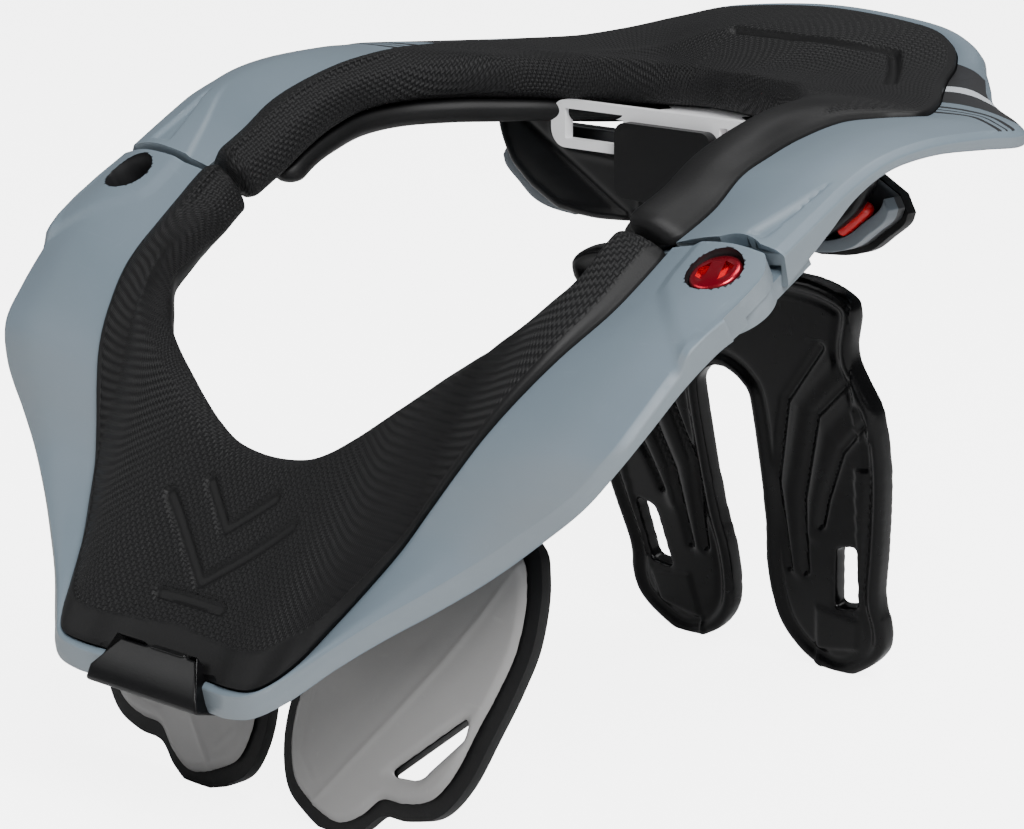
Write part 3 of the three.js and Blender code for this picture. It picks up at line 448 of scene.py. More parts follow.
def moulded(name, colour, roughness, worn=None, size=2600.0, depth=0.00004, specular=0.5, metallic=0.0):
    """Moulded plastic: grain, slow changes of tint and gloss, thin scuffs and edges rubbed to a second colour."""
    material = bpy.data.materials.new(name)
    material.use_nodes = True
    tree = material.node_tree
    shader = tree.nodes["Principled BSDF"]
    place = node(tree, "TexCoord").outputs["Object"]
    skin = group_node(tree, grain, v_place=place, size=size)
    rubbed = group_node(tree, wear, v_place=place).outputs["mask"]
    marks = group_node(tree, scuffs, v_place=place).outputs["mask"]
    tint = mix(tree, skin.outputs["slow"], [c * 0.9 for c in colour], [min(c * 1.1, 1) for c in colour])
    tint = mix(tree, math_node(tree, "MULTIPLY", marks, 0.16), tint, worn or [min(c * 1.5 + 0.02, 1) for c in colour])
    tint = mix(tree, math_node(tree, "MULTIPLY", rubbed, 0.55), tint, worn or [min(c * 1.4 + 0.03, 1) for c in colour])
    tree.links.new(tint, shader.inputs["Base Color"])
    gloss = math_node(tree, "MULTIPLY_ADD", skin.outputs["slow"], 0.16)
    gloss.node.inputs[2].default_value = roughness - 0.08
    tree.links.new(math_node(tree, "ADD", gloss, math_node(tree, "MULTIPLY", marks, 0.12)), shader.inputs["Roughness"])
    bump = node(tree, "Bump", {"Height": skin.outputs["height"], "Distance": depth, "Strength": 0.6})
    tree.links.new(bump.outputs["Normal"], shader.inputs["Normal"])
    shader.inputs["Specular IOR Level"].default_value = specular
    shader.inputs["Metallic"].default_value = metallic
    return material


def dress(obj, material, body=None, stands_for=()):
    """Brings a finished piece to metres, rests it flat on the floor where it touches it, and gives it its finish,
    its body and the nodes it stands for."""
    obj.data.transform(Matrix.Scale(0.001, 4))
    for v in obj.data.vertices:
        v.co.z = max(v.co.z, 0)
    obj.data.materials.clear()
    obj.data.materials.append(material)
    if body:
        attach(obj, body)
    if stands_for:
        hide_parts(*stands_for)


SHELL_COLOUR = (0.158, 0.205, 0.245)
# Painted highlight: the paler, more neutral grey mixed onto the steep faces of the shell rims.
RIM_PAINTED_HIGHLIGHT = (0.27, 0.285, 0.29)


def shell_finish(name):
    """Moulded blue-grey with a painted highlight: paler and more neutral on the steep faces of the rims."""
    material = moulded(name, SHELL_COLOUR, 0.42)
    tree = material.node_tree
    socket = tree.nodes["Principled BSDF"].inputs["Base Color"]
    upright = node(tree, "SeparateXYZ", {0: node(tree, "NewGeometry").outputs["Normal"]}).outputs["Z"]
    # Painted highlight: steep faces are mixed up to 40% towards the paler rim grey.
    steep_highlight = math_node(tree, "MULTIPLY", math_node(tree, "SUBTRACT", 0.5, math_node(tree, "ABSOLUTE", upright)), 5.0, True)
    steep_highlight = math_node(tree, "MULTIPLY", steep_highlight, 0.4)
    tree.links.new(mix(tree, steep_highlight, socket.links[0].from_socket, RIM_PAINTED_HIGHLIGHT), socket)
    return material


shell_grey = shell_finish("shell_grey")
dress(front_shell, shell_grey, "front_half", ["front_shell"])
# Painted shade: near black put on the bore walls, where shade falls inside the holes.
bore_shade_black = moulded("bore_shade_black", (0.004, 0.004, 0.005), 0.5)


def paint_bore_shade(obj):
    """The walls of the two bores are painted near black as painted shade, where shade falls in the holes."""
    obj.data.materials.append(bore_shade_black)
    for side in (1, -1):
        to_axis = axis_place(side).inverted()
        for face in obj.data.polygons:
            centre = to_axis @ (face.center * 1000)
            if math.hypot(centre.x, centre.y) < BORE_RADIUS + 0.65:
                face.material_index = 1


paint_bore_shade(front_shell)


# Front padding: moulded foam with a fine embossed weave, smooth along its borders, clipped onto the front shell.
END_ROUND = 5


def pad_section(s, relief=None):
    """Thin edge on the ledge, crowned top, round lip and inner wall; the two ends of the pad are rounded."""
    w = s["width"]
    roll = min(ROLL_RADIUS, 0.42 * w)
    crown, lip = s["crown"], s["lip_rise"]
    knots = np.array([
        (0.4, -1.9), (0.4, 0.4), (2.0, 1 + 0.25 * crown), (0.28 * w, 1 + 0.75 * crown),
        (0.55 * w, max(crown, 0.5 * lip) + 0.2 * lip), (w - 0.85 * roll, lip), (w - 0.3 * roll, 0.7 * lip),
        (w, 0.1 * lip), (w, -0.55 * PAD_DEPTH), (w - 0.45 * roll, -PAD_DEPTH), (8.9, -PAD_DEPTH), (8.6, -1.9),
    ])
    line = even_line(curve_through(knots[1:10], 8), 92)
    if relief:
        line[:, 1] += relief(s, line[:, 0]) * np.clip((line[:, 1] + 1) / 2, 0, 1)
    points = np.array([s["border"] + s["inward"] * a + s["pad_up"] * n
                       for a, n in [knots[0], *line, knots[10], knots[11]]])
    room = min(s["run"], s["length"] - s["run"]) / END_ROUND
    if room < 1:
        middle = points.mean(axis=0)
        points = middle + (points - middle) * (0.62 + 0.38 * math.sqrt(1 - (1 - room) ** 2))
    return list(points)


def curve_through(knots, steps):
    """A smooth open line through flat points."""
    ends = np.vstack([2 * knots[0] - knots[1], knots, 2 * knots[-1] - knots[-2]])
    line = []
    for i in range(len(knots) - 1):
        a, b, c, d = ends[i:i + 4]
        for t in np.linspace(0, 1, steps + 1)[:-1]:
            line.append(b + t * (0.5 * (c - a) + t * (a - 2.5 * b + 2 * c - 0.5 * d
                                                      + t * (1.5 * (b - c) + 0.5 * (d - a)))))
    return np.array([*line, knots[-1]])


def even_line(line, count):
    """The same line with evenly spaced points."""
    run = np.concatenate([[0], np.cumsum(np.linalg.norm(np.diff(line, axis=0), axis=1))])
    even = np.linspace(0, run[-1], count)
    return np.stack([np.interp(even, run, line[:, 0]), np.interp(even, run, line[:, 1])], axis=1)


# Width of the smooth border at places along the pad, and the channels pressed into its chest: two nested
# chevrons and a short bar, as (along from the middle, up from the border)
BORDER_RUN = [0, 54, 83, 112, 130, 150, 165, 178, 192, 212, 222, 245, 270, 300, 357]
BORDER_WIDTH = [2.5, 3, 4.5, 8, 12, 10, 10.5, 12, 10.5, 9, 9, 8, 6, 4, 2.5]
CHEVRONS = [[(-27, 47), (0, 25), (27, 47)], [(-15, 53), (0, 41), (15, 53)], [(-12, 19.5), (12, 19.5)]]
CHANNEL_WIDTH = 3.8
CHANNEL_DEPTH = 1.1
WEAVE_DROP = 0.45


def channels(s, a):
    """1 in a pressed channel, 0 outside it, with a steep wall between."""
    at = np.stack([np.full(len(a), s["run"] - s["length"] / 2), a], axis=1)
    nearest = np.min([np.abs(line_distance(at, line)) for line in CHEVRONS], axis=0)
    return np.clip(CHANNEL_WIDTH / 2 + 0.5 - nearest, 0, 1)


def inside_border(s, a):
    return np.clip((a - np.interp(s["run"], BORDER_RUN, BORDER_WIDTH)) / 0.8, 0, 1)


def chest_relief(s, a):
    return -WEAVE_DROP * inside_border(s, a) - CHANNEL_DEPTH * channels(s, a)


def chest_weave(s, ring):
    """1 where the front padding is woven: inside the smooth border and outside the channels."""
    a, n = (ring - s["border"]) @ s["inward"], (ring - s["border"]) @ s["pad_up"]
    return inside_border(s, a) * (1 - channels(s, a)) * (n > -3)


front_foam = piece("collar_front_foam", ring_skin(front_sections, lambda s: pad_section(s, chest_relief),
                                                  chest_weave), 60)
notch = block((-25, -107, 42), (25, -89.5, 53))
bmesh.ops.bevel(notch, geom=notch.edges[:], offset=3, affect="EDGES", segments=4, profile=0.5, material=-1)
join_or_cut(front_foam, notch)

# Embossed weave: short ribs that turn by a right angle from one cell to the next, and the tint between them
weave, e_in, e_out = effect("embossed_weave", {"v_run": None, "pitch": 0.0013}, ["height"])
split = node(weave, "SeparateXYZ", {0: e_in.outputs["v_run"]})
cells = [math_node(weave, "DIVIDE", split.outputs[i], e_in.outputs["pitch"]) for i in (0, 1)]
ribs = [math_node(weave, "ABSOLUTE", math_node(weave, "SINE", math_node(weave, "MULTIPLY", c, math.pi))) for c in cells]
floors = math_node(weave, "ADD", *(math_node(weave, "FLOOR", c) for c in cells))
other = math_node(weave, "MODULO", math_node(weave, "ABSOLUTE", floors), 2.0)
first = math_node(weave, "MULTIPLY", ribs[0], math_node(weave, "SUBTRACT", 1.0, other))
second = math_node(weave, "MULTIPLY", ribs[1], other)
weave.links.new(math_node(weave, "ADD", first, second), e_out.inputs["height"])


def foam_skin(name, colour, woven=True):
    """Black moulded foam: satin skin with fine grain, and the embossed weave where the piece's attribute asks."""
    material = bpy.data.materials.new(name)
    material.use_nodes = True
    tree = material.node_tree
    shader = tree.nodes["Principled BSDF"]
    place = node(tree, "TexCoord").outputs["Object"]
    skin = group_node(tree, grain, v_place=place, size=1500.0)
    rubbed = group_node(tree, wear, v_place=place, sharpness=0.55).outputs["mask"]
    cover = node(tree, "Attribute", attribute_name="woven").outputs["Fac"]
    run = node(tree, "UVMap", uv_map="run").outputs["UV"] if woven else place
    ribs = group_node(tree, weave, v_run=run).outputs["height"]
    dark, light = [c * 0.75 for c in colour], [c * 1.5 for c in colour]
    tint = mix(tree, skin.outputs["slow"], dark, light)
    tint = mix(tree, math_node(tree, "MULTIPLY", cover, ribs), tint, [c * 2.3 for c in colour])
    tint = mix(tree, math_node(tree, "MULTIPLY", rubbed, 0.35), tint, [c * 5 for c in colour])
    tree.links.new(tint, shader.inputs["Base Color"])
    gloss = math_node(tree, "MULTIPLY_ADD", skin.outputs["slow"], 0.14)
    gloss.node.inputs[2].default_value = 0.44
    tree.links.new(math_node(tree, "ADD", gloss, math_node(tree, "MULTIPLY", cover, 0.1)), shader.inputs["Roughness"])
    fine = node(tree, "Bump", {"Height": skin.outputs["height"], "Distance": 0.00008, "Strength": 0.5})
    pressed = node(tree, "Bump", {"Height": math_node(tree, "MULTIPLY", cover, ribs), "Distance": 0.0003,
                                  "Normal": fine.outputs["Normal"]})
    tree.links.new(pressed.outputs["Normal"], shader.inputs["Normal"])
    shader.inputs["Specular IOR Level"].default_value = 0.28
    return material


foam_black = foam_skin("foam_black", (0.0036, 0.0036, 0.0039))
rim_foam = foam_skin("rim_foam", (0.0045, 0.0045, 0.0048), woven=False)
dress(front_foam, foam_black, "front_half", ["front_foam"])


# Rear shell: the grey half ring round the shoulders with its long tail, moulded like the front one. The front tab
# turns in its round seat, on a lug below; the far lug ends in a blind hole.
REAR_SIZE = (140, 193, 205.6)
LUG_WALL = 5
LUG_RADIUS = 12.8
FAR_LUG_RADIUS = 10.3
HINGE_GAP = 0.4
REAR_ROWS = [
    (0.675, 0.053, 0.794, 0.936, 0.053, 0.805, 0.544, 0.053, 0.766, 1.00, 1.00, 1.10),
    (0.682, 0.124, 0.828, 0.940, 0.130, 0.846, 0.543, 0.114, 0.800, 0.90, 0.95, 0.80),
    (0.684, 0.179, 0.866, 0.942, 0.197, 0.878, 0.544, 0.176, 0.834, 0.85, 0.90, 0.52),
    (0.681, 0.238, 0.885, 0.946, 0.269, 0.903, 0.549, 0.238, 0.861, 0.85, 0.90, 0.44),
    (0.674, 0.313, 0.902, 0.955, 0.357, 0.915, 0.550, 0.311, 0.882, 0.85, 0.85, 0.46),
    (0.686, 0.394, 0.917, 0.970, 0.456, 0.916, 0.521, 0.394, 0.892, 0.75, 0.80, 0.52),
    (0.721, 0.461, 0.919, 0.984, 0.520, 0.914, 0.471, 0.466, 0.897, 0.60, 0.75, 0.52),
    (0.764, 0.510, 0.919, 0.957, 0.560, 0.917, 0.407, 0.523, 0.897, 0.50, 0.75, 0.52),
    (0.721, 0.585, 0.924, 0.821, 0.648, 0.919, 0.350, 0.565, 0.895, 0.42, 0.75, 0.52),
    (0.643, 0.668, 0.928, 0.707, 0.731, 0.921, 0.293, 0.593, 0.892, 0.38, 0.75, 0.52),
    (0.550, 0.767, 0.931, 0.600, 0.829, 0.924, 0.229, 0.617, 0.890, 0.38, 0.75, 0.52),
    (0.479, 0.855, 0.941, 0.502, 0.917, 0.929, 0.164, 0.635, 0.890, 0.45, 0.75, 0.52),
    (0.393, 0.927, 0.958, 0.421, 0.974, 0.951, 0.107, 0.646, 0.890, 0.60, 0.75, 0.52),
    (0.271, 0.961, 0.975, 0.279, 0.995, 0.968, 0.057, 0.651, 0.890, 0.80, 0.75, 0.52),
    (0.000, 0.969, 0.987, 0.000, 1.000, 0.980, 0.000, 0.653, 0.890, 0.85, 0.75, 0.52),
]


def lug(side, radius, top):
    """Round end on the pin axis, with a bar back and a riser up to the shell."""
    half = 0.86 * radius
    made = piece("lug", turned([(0, top - LUG_WALL), (radius, top - LUG_WALL), (radius, top), (0, top)], side))
    low, high = top - LUG_WALL + 0.05, top - 0.05
    profile = [(2, low), (22, low), (22, high + 4.6), (14.5, high + 4.6), (14.5, high), (2, high)]
    bm = bmesh.new()
    bm.faces.new([bm.verts.new((-half, y, z)) for y, z in profile])
    wide = bmesh.ops.extrude_face_region(bm, geom=bm.faces[:])
    bmesh.ops.translate(bm, verts=[v for v in wide["geom"] if isinstance(v, bmesh.types.BMVert)], vec=(2 * half, 0, 0))
    bmesh.ops.transform(bm, matrix=axis_place(side), verts=bm.verts)
    bmesh.ops.recalc_face_normals(bm, faces=bm.faces)
    join_or_cut(made, bm, "UNION")
    bm = bmesh.new()
    bm.from_mesh(made.data)
    bpy.data.objects.remove(made)
    return bm


def ramp(x, low, high):
    return min(max((x - low) / (high - low), 0), 1)


def arm_relief(s, t):
    """A long dart pressed in the top of each arm from its front end back, and a step beside the far one."""
    near, far = s["run"], s["length"] - s["run"]
    wide = np.linalg.norm(s["outer"] - s["border"])
    height = 0
    for run, low, high, tip, start, reach, depth in ((near, 0.68, 0.86, 0.91, 2, 27, 1.5),
                                                     (far, 0.54, 0.80, 0.775, 2, 30, 1.4)):
        k = (run - start) / (reach - start)
        if 0 < k < 1:
            inside = min(t - (low + (tip - low) * k), (high + (tip - high) * k) - t) * wide
            height -= depth * ramp(inside, -0.3, 1.5) * ramp(run, start, start + 1.4)
    if far < 36:
        height += 0.8 * ramp((t - (0.21 + 0.34 * far / 27)) * wide, 0, 1.5) * (1 - ramp(far, 24, 36))
    return height


rear_sections = stations(REAR_ROWS, REAR_SIZE, 0.9)
rear_shell = piece("collar_rear_shell", ring_skin(rear_sections, lambda s: shell_section(s, arm_relief)))
lug_top = -TAB_WALL - HINGE_GAP
join_or_cut(rear_shell, lug(1, LUG_RADIUS, lug_top), "UNION")
join_or_cut(rear_shell, lug(-1, FAR_LUG_RADIUS, lug_top - 3), "UNION")
join_or_cut(rear_shell, rod(TAB_RADIUS + HINGE_GAP, lug_top, 40, 1))
join_or_cut(rear_shell, rod(BORE_RADIUS, -40, 40, 1))
join_or_cut(rear_shell, rod(BORE_RADIUS - 1, lug_top - 3 - LUG_WALL + 1.5, 40, -1))
PRINT_STOPS = [(0, 0), (0.1410, 1), (0.1424, 0), (0.1438, 1), (0.1452, 0), (0.1466, 1), (0.1480, 0), (0.1520, 1),
               (0.1640, 2), (0.1700, 1), (0.1900, 0)]
PRINT_SLANT = 0.35
print_grey = shell_finish("shell_grey_printed")
tree = print_grey.node_tree
at = node(tree, "SeparateXYZ", {0: node(tree, "TexCoord").outputs["Object"]})
slanted = math_node(tree, "MULTIPLY", math_node(tree, "ABSOLUTE", at.outputs["X"]), PRINT_SLANT)
across = math_node(tree, "ADD", math_node(tree, "ADD", at.outputs["Y"], PIN_LINE_BACK / 1000), slanted)
bars = node(tree, "ValToRGB", {"Fac": math_node(tree, "MULTIPLY", across, 5.0)})
bars.color_ramp.interpolation = "CONSTANT"
while len(bars.color_ramp.elements) < len(PRINT_STOPS):
    bars.color_ramp.elements.new(0.5)
for element, (place, kind) in zip(bars.color_ramp.elements, PRINT_STOPS):
    element.position = place * 5
    element.color = (kind == 1, kind == 2, 0, 1)
masks = node(tree, "SeparateColor", {0: bars.outputs["Color"]})
facing = node(tree, "SeparateXYZ", {0: node(tree, "NewGeometry").outputs["Normal"]}).outputs["Z"]
on_top = math_node(tree, "GREATER_THAN", facing, 0.75)
far_out = math_node(tree, "GREATER_THAN", math_node(tree, "ABSOLUTE", at.outputs["X"]), 0.06)
shown = math_node(tree, "MULTIPLY", on_top, far_out)
shown = math_node(tree, "MULTIPLY", shown, math_node(tree, "GREATER_THAN", at.outputs["Z"], 0.17))
socket = print_grey.node_tree.nodes["Principled BSDF"].inputs["Base Color"]
tint = mix(tree, math_node(tree, "MULTIPLY", shown, masks.outputs[0]), socket.links[0].from_socket, (0.012, 0.012, 0.014))
tint = mix(tree, math_node(tree, "MULTIPLY", shown, masks.outputs[1]), tint, (0.62, 0.66, 0.7))
tree.links.new(tint, socket)
dress(rear_shell, print_grey, "rear_half", ["rear_shell"])
paint_bore_shade(rear_shell)


# Rear padding: one moulded foam piece from arm to arm, and a second thin layer under each side of it.
def lower_section(s, room=1):
    """Thin layer below the roll of the padding; room runs from 0 at its ends to 1, where it is full."""
    top = -PAD_DEPTH - 0.3
    t = min(s["share"], 1 - s["share"]) * 2
    depth = 8 * min(1, 0.55 + 4 * t) * (1 - 0.8 * t ** 3)
    w = s["width"]
    knots = [(w - 9.5, top), (w - 1.5, top), (w + 0.4, top - 0.3 * depth), (w + 0.2, top - 0.6 * depth),
             (w - 2.5, top - depth), (w - 8, top - depth)]
    corners = [s["border"] + s["inward"] * a + s["pad_up"] * n for a, n in knots]
    ring = np.array(eased(corners, [0.6, 1.0, 1.2, 1.2, 1.5, 0.6]))
    full = 0.25 + 0.75 * math.sqrt(1 - (1 - min(room, 1)) ** 2)
    return list(ring[0] + (ring - ring[0]) * full)


# Seen from above (x, y): two soft ridges over the back, and the line pressed between and beside them
RIDGES = [[(-60, 117), (-25.3, 126.3), (-1.5, 128.2), (20.2, 125.9), (46.4, 115.5), (62, 102)],
          [(-48, 128), (-34, 135.4), (-20.4, 144), (-6.6, 153.8)]]
PRESSED = [(-6, 151.5), (16.3, 152.8), (32.7, 157.4), (47, 161.4), (56.4, 149.4), (70.7, 129.4)]
REAR_BORDER = 2.4


def back_relief(s, a):
    seen = s["border"][:2] + np.outer(a, s["inward"][:2])
    height = -2.1 * np.exp(-(line_distance(seen, PRESSED) / 1.6) ** 4)
    for line in RIDGES:
        height += 0.9 * np.exp(-(line_distance(seen, line) / 4.5) ** 2)
    return height


def back_weave(s, ring):
    """1 where the rear padding is woven: past its smooth border, on top and over the inner roll."""
    a, n = (ring - s["border"]) @ s["inward"], (ring - s["border"]) @ s["pad_up"]
    smooth_roll = np.clip((12 - np.abs(a - 0.62 * s["width"])) / 1.5, 0, 1) * (s["run"] < 95)
    seen = s["border"][:2] + np.outer(a, s["inward"][:2])
    pressed = np.clip((np.abs(line_distance(seen, PRESSED)) - 1.8) / 0.8, 0, 1)
    return np.clip((a - REAR_BORDER) / 0.8, 0, 1) * (1 - smooth_roll) * pressed * (n > -6)


rear_foam = piece("collar_rear_foam", ring_skin(rear_sections, lambda s: pad_section(s, back_relief), back_weave), 60)
dress(rear_foam, foam_black, "rear_half", ["rear_foam"])
spans = {"left": (1 / 28, 0.5), "right": (0.5, 27 / 28)}
for side, (low, high) in spans.items():
    part = [s for s in rear_sections if low <= s["share"] <= high]
    ends = part[0]["run"], part[-1]["run"]
    lower = piece(f"collar_lower_foam_{side}", ring_skin(part, lambda s: lower_section(
        s, min(s["run"] - ends[0], ends[1] - s["run"]) / 9 if s["share"] != 0.5 else 1)), 60)
    dress(lower, foam_black, "rear_half", [f"rear_lower_foam_{side}"])


# Hinge pin: red anodised aluminium, its head flush in the tab, a flange below the lug.
pin_bottom = lug_top - LUG_WALL
hinge_pin = piece("hinge_pin_red", turned([
    (0, pin_bottom - 1.9), (9.5, pin_bottom - 1.9), (9.5, pin_bottom - 0.3), (7.25, pin_bottom - 0.3), (7.25, 0.5),
    (7.1, 1.5), (6.6, 1.95), (5.8, 2.15), (0, 2.35)], 1), 30)
for side in (1, -1):
    pocket = bmesh.new()
    low_face = [(2.0, -4.0), (5.0, -1.6), (5.0, 1.6), (2.0, 4.0)]
    pocket.faces.new([pocket.verts.new((side * x, y, 1.1)) for x, y in low_face])
    raised = bmesh.ops.extrude_face_region(pocket, geom=pocket.faces[:])
    raised = [v for v in raised["geom"] if isinstance(v, bmesh.types.BMVert)]
    bmesh.ops.translate(pocket, verts=raised, vec=(0, 0, 3))
    bmesh.ops.transform(pocket, matrix=axis_place(1) @ Matrix.Rotation(math.radians(20), 4, "Z"), verts=pocket.verts)
    bmesh.ops.recalc_face_normals(pocket, faces=pocket.faces)
    join_or_cut(hinge_pin, pocket)
red_anodised = moulded("red_anodised", (0.55, 0.008, 0.03), 0.24, worn=(0.6, 0.2, 0.22), size=4000.0,
                       depth=0.00001, metallic=0.9)
dress(hinge_pin, red_anodised, "rear_half", ["hinge_pin"])


# Front clip: a black wedge hooked over the lower edge of the front padding.
badge = bmesh.new()
BADGE_ROWS = [(-0.9, 3.5, 0.66), (0.85, 1.35, 0.95), (1.15, 0.1, 1.00), (-1.60, -0.7, 0.90), (-2.6, 1.4, 0.70)]
low = 0.278 * PIN_HEIGHT - 2.6
forward = -0.965 * 96 - 0.4
shares = np.linspace(-1, 1, 25)
bmesh.ops.create_grid(badge, x_segments=24, y_segments=len(BADGE_ROWS), size=0.5)
for v in badge.verts:
    share = shares[round((v.co.x + 0.5) * 24)]
    ahead, up, wide = BADGE_ROWS[round((v.co.y + 0.5) * len(BADGE_ROWS)) % len(BADGE_ROWS)]
    v.co = row_frame((23.7 * wide * share, forward - 3.6 * ahead, low + 3.6 * up))
bmesh.ops.remove_doubles(badge, verts=badge.verts, dist=1e-6)
bmesh.ops.holes_fill(badge, edges=[e for e in badge.edges if e.is_boundary])
bmesh.ops.recalc_face_normals(badge, faces=badge.faces)
front_clip = piece("front_clip", badge)
rounding = front_clip.modifiers.new("rounding", "BEVEL")
rounding.width, rounding.segments, rounding.limit_method = 0.0012, 4, "ANGLE"
black_plastic = moulded("black_plastic", (0.003, 0.003, 0.0035), 0.3, worn=(0.015, 0.015, 0.015), specular=0.28)
dress(front_clip, black_plastic, "front_half", ["front_badge"])


# Chest plates: warm grey plates, 2.4 mm, screwed over black foam pads that stand out all round as a soft rim.
CHEST_REACH = 91
CHEST_HEIGHT = 98
CHEST_LEAN = math.radians(13.2)
CHEST_SETBACK = 55.5
PLATE_OUTLINE = [
    (0.24, 0.90), (0.09, 0.49), (0.04, 0.26), (0.08, 0.10), (0.18, 0.03), (0.32, -0.01), (0.43, 0.03), (0.51, 0.09),
    (0.62, 0.10), (0.74, 0.14), (0.83, 0.24), (0.90, 0.39), (0.96, 0.53), (1.00, 0.67), (0.99, 0.84), (0.91, 0.94),
    (0.57, 1.00),
]


def closed_curve(points, steps):
    """A smooth closed line through a few corner points."""
    points = np.array(points)
    line = []
    for i in range(len(points)):
        a, b, c, d = (points[(i + k) % len(points)] for k in (-1, 0, 1, 2))
        for t in np.linspace(0, 1, steps + 1)[:-1]:
            line.append(b + t * (0.5 * (c - a) + t * (a - 2.5 * b + 2 * c - 0.5 * d
                                                      + t * (1.5 * (b - c) + 0.5 * (d - a)))))
    return np.array(line)


def slot_line(centre, length, width, angle, steps=8):
    along = np.array([math.cos(angle), math.sin(angle)])
    points = []
    for end in (1, -1):
        for k in range(steps + 1):
            a = angle + (-math.pi / 2 if end > 0 else math.pi / 2) + k * math.pi / steps
            points.append(np.array(centre) + end * along * (length - width) / 2
                          + np.array([math.cos(a), math.sin(a)]) * width / 2)
    return points


def plate(outline, front, back, holes=(), edge=0.8, segments=3):
    """A plate from an outline in x and z, thick along y, its edges rounded."""
    bm = bmesh.new()
    rim = []
    for line in [outline, *holes]:
        verts = [bm.verts.new((x, front, z)) for x, z in line]
        rim += [bm.edges.new((verts[i - 1], verts[i])) for i in range(len(verts))]
    bmesh.ops.triangle_fill(bm, use_beauty=True, use_dissolve=False, edges=rim)
    made = bmesh.ops.extrude_face_region(bm, geom=bm.faces[:])
    moved = [v for v in made["geom"] if isinstance(v, bmesh.types.BMVert)]
    bmesh.ops.translate(bm, verts=moved, vec=(0, back - front, 0))
    bmesh.ops.recalc_face_normals(bm, faces=bm.faces)
    if edge:
        sharp = [e for e in bm.edges if len(e.link_faces) == 2 and e.calc_face_angle() > math.radians(50)]
        bmesh.ops.bevel(bm, geom=sharp, offset=edge, affect="EDGES", segments=segments, profile=0.5, material=-1,
                        clamp_overlap=True)
    return bm


def relief_plate(name, flat, height, voxel=0.75):
    """The plate cut into a fine even mesh, its front face then raised and pressed by height(x, z)."""
    made = piece(name, flat)
    even = made.modifiers.new("even", "REMESH")
    even.mode, even.voxel_size, even.use_smooth_shade = "VOXEL", voxel, True
    settle(made)
    bm = bmesh.new()
    bm.from_mesh(made.data)
    bpy.data.objects.remove(made)
    for step in range(7):
        bmesh.ops.smooth_vert(bm, verts=bm.verts, factor=0.5, use_axis_x=True, use_axis_y=True, use_axis_z=True)
    at = np.array([v.co for v in bm.verts])
    front = np.clip((at[:, 1].mean() + 0.6 - at[:, 1]) / 1.2, 0, 1)
    lift = height(at[:, [0, 2]]) * front
    for v, rise in zip(bm.verts, lift):
        v.co.y -= rise
    bmesh.ops.smooth_vert(bm, verts=bm.verts, factor=0.5, use_axis_x=True, use_axis_y=True, use_axis_z=True)
    return bm


def leaned(bm, lean, place, side=1):
    """Turns an upright plate about x, sets it at its place and mirrors it for the wearer's right."""
    bmesh.ops.transform(bm, matrix=Matrix.Translation(place) @ Matrix.Rotation(lean, 4, "X"), verts=bm.verts)
    for v in bm.verts:
        v.co = row_frame((v.co.x * side, v.co.y, v.co.z))
    bmesh.ops.recalc_face_normals(bm, faces=bm.faces)
    return bm


plate_line = closed_curve([(x * CHEST_REACH, z * CHEST_HEIGHT) for x, z in PLATE_OUTLINE], 6)
plate_middle = np.array([0.51 * CHEST_REACH, 0.49 * CHEST_HEIGHT])
inner_line = np.array([p - unit(p - plate_middle) * 4.6 for p in plate_line])
SLOT = [(47.0, 20.2), (59.6, 22.0), (73.4, 36.4), (73.6, 42.2)]
CREASE = [(20, 4), (22.7, 7.8), (35.3, 22.7), (47.8, 37.1), (62.9, 55.3), (73.5, 69.5), (82.6, 83.3), (90, 94)]
INNER_CREASE = [(15.5, 44), (14.7, 36.8), (13.9, 19.2), (20.3, 12.8)]


def rounded_line(corners, radius, steps=4):
    return eased([np.array(c, float) for c in corners], [radius] * len(corners), steps)


def grown(line, by):
    """The same closed line moved outwards from its middle."""
    middle = np.mean(line, axis=0)
    return [p + unit(p - middle) * by for p in np.array(line)]


def chest_height(at):
    """Two fields that meet in a fine raised crease, a shorter crease beside it, and a bevel all round."""
    fold = line_distance(at, CREASE)
    height = -0.5 * np.clip(np.abs(fold) / 9, 0, 1) + 0.42 * np.exp(-(fold / 0.55) ** 2)
    height += 0.25 * np.exp(-(line_distance(at, INNER_CREASE) / 0.6) ** 2)
    rim = np.abs(line_distance(at, [*inner_line, inner_line[0]]))
    hole = np.abs(line_distance(at, [*SLOT, SLOT[0]]))
    return height - 0.55 * np.clip((1.9 - rim) / 1.2, 0, 1) - 0.4 * np.clip((1.6 - hole) / 1.0, 0, 1)


plate_grey = moulded("plate_grey", (0.3, 0.295, 0.292), 0.36)
hole = rounded_line(SLOT, 1.3)
for name, side in (("left", 1), ("right", -1)):
    grey = relief_plate("grey", plate(inner_line, -1.4, 1.2, [hole], 0), chest_height)
    chest_plate = piece(f"chest_plate_grey_{name}", leaned(grey, -CHEST_LEAN, (0, -CHEST_SETBACK, 0), side), 180)
    dress(chest_plate, plate_grey, "front_half", [f"chest_plate_{name}"])
    soft = plate(plate_line, 1.5, 5.1, [rounded_line(grown(SLOT, 1.2), 1.5)], 1.3)
    chest_foam = piece(f"chest_pad_{name}", leaned(soft, -CHEST_LEAN, (0, -CHEST_SETBACK, 0), side))
    dress(chest_foam, rim_foam, "front_half", [f"chest_foam_{name}"])


